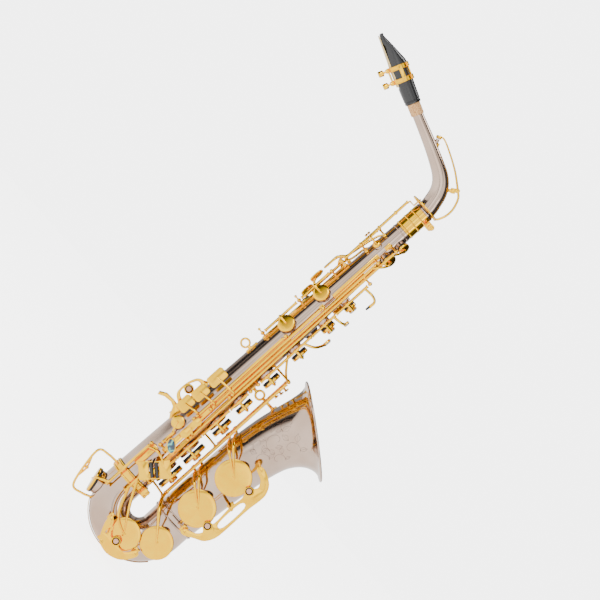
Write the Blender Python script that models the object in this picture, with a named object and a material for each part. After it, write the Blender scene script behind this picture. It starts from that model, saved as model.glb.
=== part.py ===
# Alto saxophone, built as separate pieces that go together as on the real instrument.
# Lengths are millimetres until they reach Blender, where MM turns them into metres.
# The body tube stands on +Z with the neck at the top, the bell is towards +X,
# and the player's right hand side, where the bell keys are, is towards -Y.
# The world origin is the centre of the strap ring.
import math

import bmesh
import bpy
from mathutils import Matrix, Vector

MM = 0.001
GAP = 0.3                       # clearance between pieces that touch on the real instrument

# Driving dimensions
RING_CENTRE = Vector((-26.5, 0.0, 247.0))   # strap ring, the origin of the whole part
BODY_BOTTOM = 49.0
BODY_TOP = 471.7
BODY_RADIUS_LOW = 22.5          # outer radius at the reference height below
BODY_TAPER = 0.025              # radius lost for each millimetre of height
TAPER_FROM = 60.0
WALL = 1.0                      # tube walls
BOW_RADIUS = 36.0               # bend radius of the bow's centreline
BOW_HEIGHT = 25.0               # height of the bend's centre
BELL_X = 2 * BOW_RADIUS         # the bell's foot stands here
RIM_CENTRE = Vector((106.0, 0.0, 237.0))
RIM_RADIUS = 60.5
RIM_TILT = 34.2                 # forward tilt of the bell mouth, degrees
NECK_TILT = 20.0                # rise of the neck's end and mouthpiece, degrees
CORK_START = Vector((-103.0, 0.0, 579.5))   # where the mouthpiece's end sits on the cork
CHIMNEY_RISE = 3.0              # tone hole rim above the tube
PAD_THICK = 2.4
CUP_THICK = 1.8
ROD_RADIUS = 1.7
STACK_OPEN = 7.0                # degrees that the open-standing stack keys are held open
BELL_OPEN = 8.0                 # the same for the large keys of the bell

# Lines of the hinge rods: (degrees round from the front to the player's right, distance)
STACK_LINE = (48.0, 26.8)
HIGH_FS_LINE = (69.0, 27.2)
SIDE_E_LINE = (78.5, 27.2)
SIDE_C_LINE = (88.0, 27.2)
SIDE_BB_LINE = (97.5, 27.2)
SIDE_CUP_LINE = (157.0, 24.5)
ALT_FS_LINE = (106.0, 28.0)
OCTAVE_LINE = (172.0, 22.5)
G_SHARP_LINE = (-84.0, 23.5)
PALM_D_LINE = (-62.0, 22.5)
PALM_EB_LINE = (-126.0, 23.0)
PALM_F_LINE = (-144.0, 23.5)

for old in list(bpy.data.objects):
    bpy.data.objects.remove(old, do_unlink=True)

saxophone = bpy.data.collections.new("saxophone")
bpy.context.scene.collection.children.link(saxophone)
workshop = bpy.data.collections.new("workshop")
bpy.context.scene.collection.children.link(workshop)
root = bpy.data.objects.new("saxophone_root", None)
root.location = -RING_CENTRE * MM
saxophone.objects.link(root)


def body_radius(z):
    return BODY_RADIUS_LOW - BODY_TAPER * (z - TAPER_FROM)


def around(line, z):
    """Point on a line parallel to the body: (angle, distance) at a height."""
    angle, distance = line
    turn = math.radians(angle)
    return Vector((distance * math.cos(turn), -distance * math.sin(turn), z))


def outward(angle):
    turn = math.radians(angle)
    return Vector((math.cos(turn), -math.sin(turn), 0.0))


# ---------------------------------------------------------------- basic shapes
def from_bmesh(bm, matrix):
    mesh = bpy.data.meshes.new("shape")
    bmesh.ops.transform(bm, matrix=matrix, verts=bm.verts)
    bmesh.ops.scale(bm, vec=(MM, MM, MM), verts=bm.verts)
    bm.to_mesh(mesh)
    bm.free()
    shape = bpy.data.objects.new("shape", mesh)
    workshop.objects.link(shape)
    return shape


def frame_along(start, direction):
    turn = Vector(direction).to_track_quat("Z", "Y").to_matrix().to_4x4()
    return Matrix.Translation(start) @ turn


def cylinder(start, end, radius, sides=10, end_radius=None):
    start, end = Vector(start), Vector(end)
    length = (end - start).length
    bm = bmesh.new()
    bmesh.ops.create_cone(bm, cap_ends=True, segments=sides, radius1=radius,
                          radius2=radius if end_radius is None else end_radius, depth=length)
    matrix = frame_along(start, end - start) @ Matrix.Translation((0, 0, length / 2))
    return from_bmesh(bm, matrix)


def ball(centre, radius):
    bm = bmesh.new()
    bmesh.ops.create_uvsphere(bm, u_segments=7, v_segments=4, radius=radius)
    return from_bmesh(bm, Matrix.Translation(centre))


def block(centre, size, turn=Matrix.Identity(4)):
    bm = bmesh.new()
    bmesh.ops.create_cube(bm, size=1.0)
    matrix = Matrix.Translation(centre) @ turn @ Matrix.Diagonal((*size, 1.0))
    return from_bmesh(bm, matrix)


def ring(centre, axis, radius, wire_radius, sides=20):
    """Round wire bent into a closed ring."""
    bm = bmesh.new()
    loops = []
    for step in range(sides):
        turn = 2 * math.pi * step / sides
        spoke = Vector((math.cos(turn), math.sin(turn), 0))
        loop = []
        for corner in range(6):
            lift = 2 * math.pi * corner / 6
            point = spoke * (radius + wire_radius * math.cos(lift))
            loop.append(bm.verts.new(point + Vector((0, 0, wire_radius * math.sin(lift)))))
        loops.append(loop)
    bridge(bm, loops, closed=True)
    return from_bmesh(bm, frame_along(centre, axis))


def bridge(bm, loops, closed=False):
    """Skin between loops of equal length, capped at both ends unless closed."""
    count = len(loops)
    for index in range(count if closed else count - 1):
        low, high = loops[index], loops[(index + 1) % count]
        for corner in range(len(low)):
            after = (corner + 1) % len(low)
            bm.faces.new((low[corner], low[after], high[after], high[corner]))
    if not closed:
        bm.faces.new(list(reversed(loops[0])))
        bm.faces.new(loops[-1])
    bmesh.ops.recalc_face_normals(bm, faces=bm.faces)


def loft(sections, sides):
    """Solid through round sections: (centre, tilt towards +X in degrees, radius)."""
    bm = bmesh.new()
    loops = []
    for centre, tilt, radius in sections:
        lean = math.radians(tilt)
        across = Vector((math.cos(lean), 0, -math.sin(lean)))
        loop = []
        for corner in range(sides):
            turn = 2 * math.pi * (corner + 0.5) / sides
            offset = across * math.cos(turn) + Vector((0, 1, 0)) * math.sin(turn)
            loop.append(bm.verts.new(Vector(centre) + offset * radius))
        loops.append(loop)
    bridge(bm, loops)
    return from_bmesh(bm, Matrix.Identity(4))


def wire(points, radius, resolution=1):
    """Bent round wire through the points, as a closed mesh."""
    curve = bpy.data.curves.new("wire", "CURVE")
    curve.dimensions = "3D"
    curve.bevel_depth = radius * MM
    curve.bevel_resolution = resolution
    curve.use_fill_caps = True
    spline = curve.splines.new("POLY")
    spline.points.add(len(points) - 1)
    for index, point in enumerate(points):
        spline.points[index].co = (*(Vector(point) * MM), 1.0)
    return curve_to_mesh(curve)


def circle(radius, sides):
    return [(radius * math.cos(2 * math.pi * k / sides), radius * math.sin(2 * math.pi * k / sides))
            for k in range(sides)]


def plate(outline, thickness, matrix, holes=()):
    """Flat plate: a filled 2D outline, extruded by half its thickness each way."""
    curve = bpy.data.curves.new("plate", "CURVE")
    curve.dimensions = "2D"
    curve.fill_mode = "BOTH"
    curve.extrude = thickness / 2 * MM
    for ring_points in (outline, *holes):
        spline = curve.splines.new("POLY")
        spline.points.add(len(ring_points) - 1)
        spline.use_cyclic_u = True
        for index, (across, up) in enumerate(ring_points):
            spline.points[index].co = (across * MM, up * MM, 0, 1)
    shape = curve_to_mesh(curve)
    placed = matrix.copy()
    placed.translation = placed.translation * MM
    shape.data.transform(placed)
    return shape


def curve_to_mesh(curve):
    source = bpy.data.objects.new("curve", curve)
    workshop.objects.link(source)
    bpy.context.view_layer.update()
    evaluated = source.evaluated_get(bpy.context.evaluated_depsgraph_get())
    mesh = bpy.data.meshes.new_from_object(evaluated)
    bm = bmesh.new()
    bm.from_mesh(mesh)
    bmesh.ops.remove_doubles(bm, verts=bm.verts, dist=0.00001)
    bmesh.ops.recalc_face_normals(bm, faces=bm.faces)
    bm.to_mesh(mesh)
    bm.free()
    shape = bpy.data.objects.new("shape", mesh)
    workshop.objects.link(shape)
    bpy.data.objects.remove(source)
    return shape


def boolean(base, others, operation):
    """Cut or join the shapes with the exact solver and keep the result as a mesh."""
    for other in others:
        step = base.modifiers.new(operation.lower(), "BOOLEAN")
        step.operation = operation
        step.object = other
        step.solver = "EXACT"
    bpy.context.view_layer.update()
    evaluated = base.evaluated_get(bpy.context.evaluated_depsgraph_get())
    mesh = bpy.data.meshes.new_from_object(evaluated)
    base.modifiers.clear()
    base.data = mesh
    for other in others:
        bpy.data.objects.remove(other, do_unlink=True)
    return base


def material(name, colour, metallic, roughness):
    made = bpy.data.materials.new(name)
    made.use_nodes = True
    shader = made.node_tree.nodes["Principled BSDF"]
    shader.inputs["Base Color"].default_value = (*colour, 1.0)
    shader.inputs["Metallic"].default_value = metallic
    shader.inputs["Roughness"].default_value = roughness
    return made


GOLD = ((0.93, 0.62, 0.18), 1.0, 0.2)
NICKEL = ((0.66, 0.58, 0.54), 1.0, 0.18)
EBONITE = ((0.01, 0.01, 0.012), 0.0, 0.25)
LEATHER = ((0.03, 0.022, 0.02), 0.0, 0.7)
CORK = ((0.62, 0.40, 0.22), 0.0, 0.8)
CANE = ((0.80, 0.66, 0.40), 0.0, 0.55)


def node(name, shapes, finish, pivot=None, axis=(0, 0, 1), turn=0.0, cuts=()):
    """Join shapes into one named piece, with its origin on the hinge and turned there."""
    piece = shapes[0]
    if len(shapes) > 1:
        piece = boolean(piece, shapes[1:], "UNION")
    if cuts:
        piece = boolean(piece, list(cuts), "DIFFERENCE")
    bm = bmesh.new()
    bm.from_mesh(piece.data)
    bmesh.ops.remove_doubles(bm, verts=bm.verts, dist=0.000002)
    bmesh.ops.dissolve_degenerate(bm, edges=bm.edges, dist=0.000002)
    bm.to_mesh(piece.data)
    bm.free()
    pivot = Vector(pivot) if pivot is not None else Vector((0, 0, 0))
    piece.data.transform(Matrix.Translation(-pivot * MM))
    piece.name = name
    piece.data.name = name
    piece.data.materials.clear()
    piece.data.materials.append(material(name, *finish))
    piece.data.shade_smooth()
    piece.data.set_sharp_from_angle(angle=math.radians(35))
    workshop.objects.unlink(piece)
    saxophone.objects.link(piece)
    piece.parent = root
    piece.location = pivot * MM
    piece.rotation_mode = "AXIS_ANGLE"
    piece.rotation_axis_angle = (math.radians(turn), *axis)
    return piece


# ---------------------------------------------------------------- tubes
# Tone holes of the body: angle, height, bore radius
PALM_BORE = 6.3
STACK_HOLES = [(0, 77, 15.0), (0, 115, 13.5), (0, 160, 11.5), (0, 196, 9.5), (0, 240, 9.5),
               (0, 285, 8.5), (0, 331, 7.0), (0, 366, 5.5)]
SIDE_HOLES = [(125, 298, 8.5), (125, 352, 8.0), (45, 436, 6.0), (40, 458, 5.0), (118, 128, 6.0),
              (-48, 312, 8.0), (-92, 412, PALM_BORE), (-92, 434, PALM_BORE),
              (-92, 455, PALM_BORE)]
BODY_HOLES = STACK_HOLES + SIDE_HOLES


def body_tube():
    top_radius, low_radius = body_radius(BODY_TOP), body_radius(BODY_BOTTOM)
    tube = cylinder((0, 0, BODY_BOTTOM), (0, 0, BODY_TOP), low_radius, 24, top_radius)
    chimneys = []
    bores = []
    for angle, z, bore in BODY_HOLES:
        reach = body_radius(z)
        line = outward(angle)
        height = Vector((0, 0, z))
        sides = 12 if bore > 9 else 8
        chimneys.append(cylinder(height + line * 0.6 * reach, height + line * (reach + CHIMNEY_RISE),
                                 bore + WALL, sides))
        bores.append(cylinder(height + line * 0.55 * reach, height + line * (reach + 5), bore, sides))
    inside = cylinder((0, 0, BODY_BOTTOM - 1), (0, 0, BODY_TOP + 1), low_radius - WALL, 24,
                      top_radius - WALL)
    node("body_tube", [tube, *chimneys], NICKEL, cuts=[inside, *bores])


def bow_sections(extra, overrun):
    """Round sections down the body side, round the bend and up to the bell."""
    rows = [(Vector((0, 0, BODY_BOTTOM - 1.4 + overrun)), 0, 22.9 + extra)]
    steps = 9
    for step in range(steps + 1):
        turn = math.pi * step / steps
        centre = Vector((BOW_RADIUS * (1 - math.cos(turn)), 0, BOW_HEIGHT - BOW_RADIUS * math.sin(turn)))
        rows.append((centre, -math.degrees(turn), 23.0 + 4.0 * step / steps + extra))
    rows.append((Vector((BELL_X, 0, 44.4 + overrun)), -180, 27.1 + extra))
    return rows


def bow():
    outer = loft(bow_sections(0.0, 0.0), 20)
    inner = loft(bow_sections(-WALL, 1.0), 20)
    holes = [(Vector((76, 0, 16)), Vector((0, -1, 0)), 15.5, 29.5),
             (Vector((41, 0, -5)), Vector((0, -1, 0)), 15.5, 28.5),
             (Vector((2.2, 0, 16.5)), Vector((-0.966, 0, -0.259)), 13.5, 25.8)]
    chimneys = [cylinder(centre + line * 12, centre + line * top, bore + WALL, 14)
                for centre, line, bore, top in holes]
    bores = [cylinder(centre + line * 10, centre + line * (top + 2), bore, 14)
             for centre, line, bore, top in holes]
    node("bow", [outer, *chimneys], NICKEL, cuts=[inner, *bores])


BELL_ROWS = [(72.0, 45.2, 0.0, 27.1), (73.6, 80.0, 0.8, 28.3), (75.2, 115.0, 1.5, 29.9),
             (77.2, 150.0, 4.0, 31.6), (80.0, 172.0, 9.0, 32.6), (83.6, 191.0, 14.0, 34.2),
             (89.0, 207.5, 22.0, 37.0), (95.0, 220.5, 28.0, 41.2), (100.6, 229.8, 32.0, 47.0),
             (103.8, 234.2, 33.8, 53.0)]


def bell():
    outer_rows = [(Vector((x, 0, z)), tilt, radius) for x, z, tilt, radius in BELL_ROWS]
    facing = Vector((math.sin(math.radians(RIM_TILT)), 0, math.cos(math.radians(RIM_TILT))))
    outer_rows += [(RIM_CENTRE - facing * 2.2, RIM_TILT, RIM_RADIUS),
                   (RIM_CENTRE, RIM_TILT, RIM_RADIUS)]
    inner_rows = [(centre, tilt, radius - WALL) for centre, tilt, radius in outer_rows[:-2]]
    inner_rows[0] = (Vector((72.0, 0, 44.2)), 0, 27.1 - WALL)
    inner_rows += [(RIM_CENTRE - facing * 0.9, RIM_TILT, RIM_RADIUS - 4.0),
                   (RIM_CENTRE + facing * 1.0, RIM_TILT, RIM_RADIUS - 3.6)]
    outer, inner = loft(outer_rows, 24), loft(inner_rows, 24)
    chimneys = []
    bores = []
    for x, z, bore, reach in [(82, 133, 17.5, 34.0), (79, 78, 18.0, 32.0)]:
        chimneys.append(cylinder((x, -3, z), (x, -reach, z), bore + WALL, 14))
        bores.append(cylinder((x, -1, z), (x, -reach - 2, z), bore, 14))
    node("bell", [outer, *chimneys], NICKEL, cuts=[inner, *bores])


def joint_rings():
    """Body-to-bow clamp with its lugs and screws, and the ferrule between bow and bell."""
    clamp = cylinder((0, 0, 37), (0, 0, 48.2), 25.4, 28)
    lug = block((24, -13, 42.6), (10, 6, 10.5))
    screws = [cylinder((26.5, -18.5, z), (26.5, -12, z), 1.8, 8) for z in (39.6, 45.4)]
    hollow = cylinder((0, 0, 36), (0, 0, 49.5), 24.0, 28)
    node("body_bow_clamp", [clamp, lug, *screws], GOLD, cuts=[hollow])
    ferrule = cylinder((72, 0, 42.5), (72, 0, 53.0), 29.2, 28)
    groove = cylinder((72, 0, 42), (72, 0, 56), 28.2, 28)
    node("bow_bell_ring", [ferrule], NICKEL, cuts=[groove])
    outline = []
    inside = []
    for step in range(11):
        turn = math.radians(215 + 11 * step)
        reach = BOW_RADIUS + 24.0 + 2.2 * step / 10
        spoke = Vector((math.cos(turn), math.sin(turn)))
        outline.append((BOW_RADIUS + spoke.x * (reach + 2.0), BOW_HEIGHT + spoke.y * (reach + 2.0)))
        inside.append((BOW_RADIUS + spoke.x * (reach + 0.8), BOW_HEIGHT + spoke.y * (reach + 0.8)))
    standing = Matrix.Rotation(math.radians(90), 4, "X")
    node("bow_guard", [plate(outline + inside[::-1], 7.0, standing)], GOLD)


def brace():
    """Two pads and a ringed bar that tie the bell to the body, beside the bell keys' rods."""
    z, y = 218, 10
    shapes = [block((18.5, y, z), (8.0, 8, 11)), cylinder((20, y, z), (57, y, z), 2.2, 10),
              ring((32, y, z), (0, 1, 0), 5.4, 1.5, 14), block((57.5, y, z), (9.0, 8, 11))]
    hollow = cylinder((0, 0, 200), (0, 0, 236), body_radius(200) + GAP, 32, body_radius(236) + GAP)
    bell_cut = loft([(Vector((x, 0, z)), tilt, radius + 0.5) for x, z, tilt, radius in BELL_ROWS[3:]], 36)
    node("bell_brace", shapes, GOLD, cuts=[hollow, bell_cut])


# ---------------------------------------------------------------- neck end
def along_neck(distance):
    lean = math.radians(NECK_TILT)
    return CORK_START + Vector((-math.cos(lean), 0, math.sin(lean))) * distance


NECK_ROWS = [(0, 503.6, 0, 11.6), (-0.8, 513, -6, 11.3), (-2.6, 521, -12, 11.0), (-5.6, 531, -22, 10.7),
             (-11.0, 540, -36, 10.3), (-20.0, 547.6, -54, 9.5), (-34, 554.4, -64, 8.5),
             (-57, 563.4, -69, 7.5), (-90, 574.9, -70, 6.6)]


def neck():
    rows = [(Vector((x, 0, z)), tilt, radius) for x, z, tilt, radius in NECK_ROWS]
    rows.append((along_neck(22), -70, 6.3))
    inner = [(centre, tilt, radius - WALL) for centre, tilt, radius in rows]
    inner[0] = (Vector((0, 0, 474.5)), 0, 9.6)
    inner.insert(1, (Vector((0, 0, 503.6)), 0, 9.6))
    inner[-1] = (along_neck(23.5), -70, 5.3)
    tenon = cylinder((0, 0, 476), (0, 0, 503.7), 10.6, 20)
    saddle = block((2.2, 0, 543.5), (6, 8, 6), Matrix.Rotation(math.radians(-38), 4, "Y"))
    pip = cylinder((-50.5, 0, 567), (-53, 0, 573.6), 2.4, 8)
    collar = cylinder((0, 0, 503.5), (0, 0, 506.5), 12.6, 20)
    ears = [block((4.0, side * 4.6, 545.6), (4.6, 1.6, 7.0)) for side in (-1, 1)]
    node("neck_tube", [loft(rows, 16), tenon, collar, saddle, pip, *ears], NICKEL,
         cuts=[loft(inner, 16)])
    cork = cylinder(along_neck(-14), along_neck(21.7), 8.0, 20)
    node("neck_cork", [cork], CORK, cuts=[cylinder(along_neck(-16), along_neck(24), 6.95, 20)])


def mouthpiece_point(u, v, y=0.0):
    lean = math.radians(NECK_TILT)
    axis = Vector((-math.cos(lean), 0, math.sin(lean)))
    up = Vector((math.sin(lean), 0, math.cos(lean)))
    return CORK_START + axis * u + up * v + Vector((0, y, 0))


def mouthpiece():
    bm = bmesh.new()
    rows = [(0.4, 9.5, -9.5, 9.5), (22, 10.2, -10.2, 10.2), (24, 10.4, -8.6, 10.4), (50, 11.0, -8.6, 11.0),
            (55, 9.6, -8.6, 11.0), (72, 3.2, -8.6, 9.4), (84, -2.0, -8.0, 7.8), (90.3, -5.4, -6.4, 6.6)]
    loops = []
    for u, top, bottom, half_width in rows:
        loop = []
        for corner in range(20):
            turn = 2 * math.pi * (corner + 0.5) / 20
            middle = bottom * 0.5 if top < 2 else 0.0
            rise = math.sin(turn)
            v = middle + (top - middle) * rise if rise > 0 else middle + half_width * rise
            loop.append(bm.verts.new(mouthpiece_point(u, max(v, bottom), half_width * math.cos(turn))))
        loops.append(loop)
    bridge(bm, loops)
    solid = from_bmesh(bm, Matrix.Identity(4))
    shank = cylinder(mouthpiece_point(-2, 0), mouthpiece_point(27, 0), 8.35, 20)
    chamber = cylinder(mouthpiece_point(25, 0), mouthpiece_point(52, 0), 5.6, 16)
    window = block(mouthpiece_point(58, -8), (26, 9, 9), Matrix.Rotation(math.radians(NECK_TILT), 4, "Y"))
    node("mouthpiece", [solid], EBONITE, cuts=[shank, chamber, window])
    reed_bm = bmesh.new()
    reed_loops = []
    for u, thick, half_width in [(24.5, 2.4, 6.2), (52, 2.4, 6.4), (70, 1.5, 6.6), (84, 0.7, 6.6)]:
        top = -8.6 - GAP
        reed_loops.append([reed_bm.verts.new(mouthpiece_point(u, v, y)) for v, y in
                           ((top, -half_width), (top, half_width), (top - thick, half_width * 0.74),
                            (top - thick, -half_width * 0.74))])
    bridge(reed_bm, reed_loops)
    node("reed", [from_bmesh(reed_bm, Matrix.Identity(4))], CANE)


def ligature():
    """Two bands joined by a bar under the reed and a rail on each side."""
    turn = Matrix.Rotation(math.radians(NECK_TILT), 4, "Y")
    outer, inner = (circle(radius, 24) for radius in (13.4, 12.3))
    axis = mouthpiece_point(1, 0) - mouthpiece_point(0, 0)
    bands = [plate(outer, 5.5, frame_along(mouthpiece_point(u, -0.6), axis), holes=[inner])
             for u in (30.75, 46.25)]
    bar = block(mouthpiece_point(38.5, -14.5), (17.0, 8, 2.0), turn)
    rails = [block(mouthpiece_point(38.5, -0.6, side * 13.1), (16.0, 1.0, 4), turn) for side in (-1, 1)]
    lugs = [cylinder(mouthpiece_point(u, -16.5), mouthpiece_point(u, -14.2), 2.5, 8) for u in (30.8, 46.2)]
    node("ligature", [*bands, bar, *rails, *lugs], GOLD)
    for index, u in enumerate((30.8, 46.2)):
        head = cylinder(mouthpiece_point(u, -26), mouthpiece_point(u, -19.5), 3.6, 10)
        stem = cylinder(mouthpiece_point(u, -20), mouthpiece_point(u, -16.8), 1.3, 8)
        node("ligature_screw_" + str(index + 1), [head, stem], GOLD, pivot=mouthpiece_point(u, -20))


def receiver():
    sleeve = cylinder((0, 0, 472), (0, 0, 503.2), 12.6, 20)
    beads = [cylinder((0, 0, z - 0.8), (0, 0, z + 0.8), 13.3, 20) for z in (485, 495)]
    lugs = block((15.5, 0, 498), (10, 8, 8.4))
    hollow = cylinder((0, 0, 471), (0, 0, 504), 10.95, 20)
    slot = block((14, 0, 495), (20, 1.6, 20))
    screw_hole = cylinder((17.5, -8, 498), (17.5, 8, 498), 1.9, 10)
    node("neck_receiver", [sleeve, *beads, lugs], GOLD, cuts=[hollow, slot, screw_hole])
    head = cylinder((17.5, -16.5, 498), (17.5, -7.6, 498), 3.8, 12)
    stem = cylinder((17.5, -8, 498), (17.5, 5, 498), 1.5, 8)
    node("receiver_screw", [head, stem], GOLD, pivot=(17.5, 0, 498))


# ---------------------------------------------------------------- posts and ribs
def post(line, z, root_radius, foot_angle):
    """Stem with a ball end that carries a hinge rod."""
    centre = around(line, z)
    foot = outward(foot_angle) * (root_radius + 1.0) + Vector((0, 0, z))
    return [cylinder(foot, centre, 1.5, 8), ball(centre, 2.5)]


def chimney_room(angle, z_low, z_high):
    """Cutters that keep a rib clear of the tone holes beside it."""
    cutters = []
    for hole_angle, z, bore in BODY_HOLES:
        beside = abs((hole_angle - angle + 180) % 360 - 180) < 75
        if beside and z_low - bore - 3 < z < z_high + bore + 3:
            height = Vector((0, 0, z))
            line = outward(hole_angle)
            reach = body_radius(z)
            cutters.append(cylinder(height + line * 0.4 * reach, height + line * (reach + 8),
                                    bore + WALL + GAP + 0.1, 14))
    return cutters


def rib(name, angle, z_low, z_high, posts, width):
    """Long plate soldered to the body that carries a row of posts."""
    low = outward(angle) * (body_radius(z_low) + 0.9) + Vector((0, 0, z_low))
    high = outward(angle) * (body_radius(z_high) + 0.9) + Vector((0, 0, z_high))
    length = (high - low).length
    direction = (high - low).normalized()
    sideways = direction.cross(outward(angle)).normalized()
    normal = sideways.cross(direction)
    turn = Matrix((normal, sideways, direction)).transposed().to_4x4()
    strip = block((low + high) / 2, (2.2, width, length), turn)
    shapes = [strip]
    for line, z in posts:
        shapes += post(line, z, body_radius(z), angle + (line[0] - angle) * 0.25)
    hollow = cylinder((0, 0, z_low - 5), (0, 0, z_high + 5), body_radius(z_low - 5) + GAP, 32,
                      body_radius(z_high + 5) + GAP)
    node(name, shapes, GOLD, cuts=[hollow, *chimney_room(angle, z_low, z_high)])


def ribs():
    rib("stack_rib", 61, 52, 404, [(STACK_LINE, z) for z in (56, 214, 226, 401)], 5.4)
    side_posts = [(ALT_FS_LINE, 95.5), (HIGH_FS_LINE, 122.5), (SIDE_E_LINE, 191.5), (SIDE_C_LINE, 166.5),
                  (SIDE_BB_LINE, 144.5), (SIDE_BB_LINE, 287.5)]
    rib("side_rib", 86, 92, 292, side_posts, 7)
    top_posts = [(SIDE_C_LINE, 342.0), (SIDE_E_LINE, 424.0), (HIGH_FS_LINE, 448.5)]
    rib("side_rib_top", 86, 338, 450, top_posts, 6)
    rib("back_rib", 160, 266, 398, [(SIDE_CUP_LINE, 270), (SIDE_CUP_LINE, 327), (SIDE_CUP_LINE, 378),
                                    (OCTAVE_LINE, 394.5)], 6)
    rib("palm_rib", -100, 342, 403, [(line, z) for line in (PALM_D_LINE, PALM_EB_LINE, PALM_F_LINE)
                                     for z in (346.5, 401)], 7)


# ---------------------------------------------------------------- keys
def tube_on(line, z_low, z_high):
    return cylinder(around(line, z_low), around(line, z_high), ROD_RADIUS, 10)


def cup_on_body(angle, z, bore, pearl=0.0):
    """Pad and cup over one of the body's tone holes, pad parallel to the hole."""
    line = outward(angle)
    base = Vector((0, 0, z)) + line * (body_radius(z) + CHIMNEY_RISE + GAP)
    radius = bore + WALL + 1.2
    sides = 16 if bore > 9 else 12
    shapes = [cylinder(base, base + line * (PAD_THICK + CUP_THICK), radius, sides)]
    top = base + line * (PAD_THICK + CUP_THICK)
    shapes.append(cylinder(top - line * 0.4, top + line * 2.0, 3.2, 8))
    if pearl:
        shapes.append(cylinder(top + line * 1.0, top + line * 3.6, pearl, 12))
    return shapes, top + line * 1.2


def stack_key(name, z_low, z_high, cups):
    """Key on the front hinge rod: every cup is reached by an arm over its edge."""
    shapes = [tube_on(STACK_LINE, z_low, z_high)]
    for z, bore, pearl in cups:
        more, top = cup_on_body(0, z, bore, pearl)
        start = around(STACK_LINE, z)
        middle = Vector((top.x + 1.0, -(bore + 4.5), z))
        start_height = min(max(z, z_low + 3), z_high - 3)
        start.z = start_height
        shapes += more
        shapes.append(wire([start, middle, top], 1.6))
    node(name, shapes, GOLD, pivot=around(STACK_LINE, (z_low + z_high) / 2),
         turn=-STACK_OPEN)


def stack_keys():
    stack_key("rh_d_key", 59.5, 97, [(77, 15.0, 6.0)])
    stack_key("rh_e_key", 98, 137, [(115, 13.5, 6.0)])
    stack_key("rh_f_key", 138, 181, [(160, 11.5, 6.0)])
    stack_key("rh_f_sharp_cup", 182, 210.5, [(196, 9.5, 0)])
    stack_key("lh_g_key", 229.5, 309, [(240, 9.5, 0), (285, 8.5, 0)])
    stack_key("lh_a_key", 310, 347, [(331, 7.0, 5.5)])
    stack_key("lh_b_key", 348, 397.5, [(366, 5.5, 5.5)])


def touch_plate(centre, facing, width, height, thick=1.8):
    facing = Vector(facing).normalized()
    up = Vector((0, 0, 1))
    side = up.cross(facing).normalized()
    turn = Matrix((side, facing, up)).transposed().to_4x4()
    outline = []
    for corner, (sx, sz) in enumerate(((1, 1), (-1, 1), (-1, -1), (1, -1))):
        for bend in range(3):
            angle = math.radians(90 * corner + 45 * bend)
            cut = min(width, height) * 0.25
            outline.append((sx * (width / 2 - cut) + cut * math.cos(angle),
                            sz * (height / 2 - cut) + cut * math.sin(angle)))
    laid = Matrix.Translation(centre) @ turn @ Matrix.Rotation(math.radians(90), 4, "X")
    return plate(outline, thick, laid)


def side_keys():
    for name, line, low, high, z, angle in (
            ("side_bb_touch", SIDE_BB_LINE, 148, 284, 149, 132),
            ("side_c_touch", SIDE_C_LINE, 170, 338.5, 170.5, 128),
            ("side_e_key", SIDE_E_LINE, 195, 420.5, 196.5, 128)):
        touch = around((angle, 34.5), z)
        start = around(line, low + 4)
        middle = around((line[0] + 8, 34.5), low + 4)
        shapes = [tube_on(line, low, high), wire([start, middle, touch], 1.5),
                  touch_plate(touch, outward(100), 15, 19)]
        if name == "side_e_key":
            more, top = cup_on_body(45, 436, 6.0)
            shapes += more
            path = [around(line, 414), around((75, 32.2), 419), around((60, 30.5), 429), top]
            shapes.append(wire(path, 1.5))
        node(name, shapes, GOLD, pivot=around(line, (low + high) / 2))
    for name, low, high, z, bore in (("side_bb_cup", 273.5, 323.5, 298, 8.5),
                                     ("side_c_cup", 330.5, 374.5, 352, 8.0)):
        more, top = cup_on_body(125, z, bore)
        shapes = [tube_on(SIDE_CUP_LINE, low, high), *more,
                  wire([around(SIDE_CUP_LINE, z), around((146, 29), z), top], 1.6)]
        node(name, shapes, GOLD, pivot=around(SIDE_CUP_LINE, (low + high) / 2))
    more, top = cup_on_body(40, 458, 5.0)
    touch = Vector((1.5, -33.0, 135))
    shapes = [tube_on(HIGH_FS_LINE, 126, 445), *more, touch_plate(touch, (0, -1, 0), 10, 30),
              wire([around(HIGH_FS_LINE, 130), around((76, 32.5), 131), touch], 1.5),
              wire([around(HIGH_FS_LINE, 442), around((55, 25.0), 449), top], 1.5)]
    node("high_f_sharp_key", shapes, GOLD, pivot=around(HIGH_FS_LINE, 285))


def alt_f_sharp():
    line = ALT_FS_LINE
    more, top = cup_on_body(118, 128, 6.0)
    touch = Vector((1.5, -32.5, 104))
    shapes = [tube_on(line, 99, 117), *more, touch_plate(touch, (0, -1, 0), 19, 11, 3.0),
              wire([around(line, 103), Vector((-4, -32, 104)), touch], 1.4),
              wire([around(line, 114), around((112, 29), 121), top], 1.4)]
    node("alt_f_sharp_key", shapes, GOLD, pivot=around(line, 108))


def palm_keys():
    """Keys for the left palm: the rods lie side by side and the cups climb towards the top."""
    for name, line, z, shift, touch_z, route in (
            ("palm_d_key", PALM_D_LINE, 412, 10, 356, [(-77, 25.0, 403)]),
            ("palm_eb_key", PALM_EB_LINE, 434, -6, 343, [(-122, 26, 408), (-116, 26, 427)]),
            ("palm_f_key", PALM_F_LINE, 455, -10, 362, [(-141, 26, 408), (-119, 26, 447)])):
        more, top = cup_on_body(-92, z, PALM_BORE)
        touch = around((line[0] + shift, 31), touch_z)
        middle = [around((angle, distance), height) for angle, distance, height in route]
        shapes = [tube_on(line, 350, 397.5), *more,
                  touch_plate(touch, outward(line[0] + shift / 2), 11, 18),
                  wire([around(line, 355), around((line[0] + shift / 3, 28), 354), touch], 1.5),
                  wire([around(line, 388), around((line[0], 29), 396), *middle, top], 1.5)]
        node(name, shapes, GOLD, pivot=around(line, 374))


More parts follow.
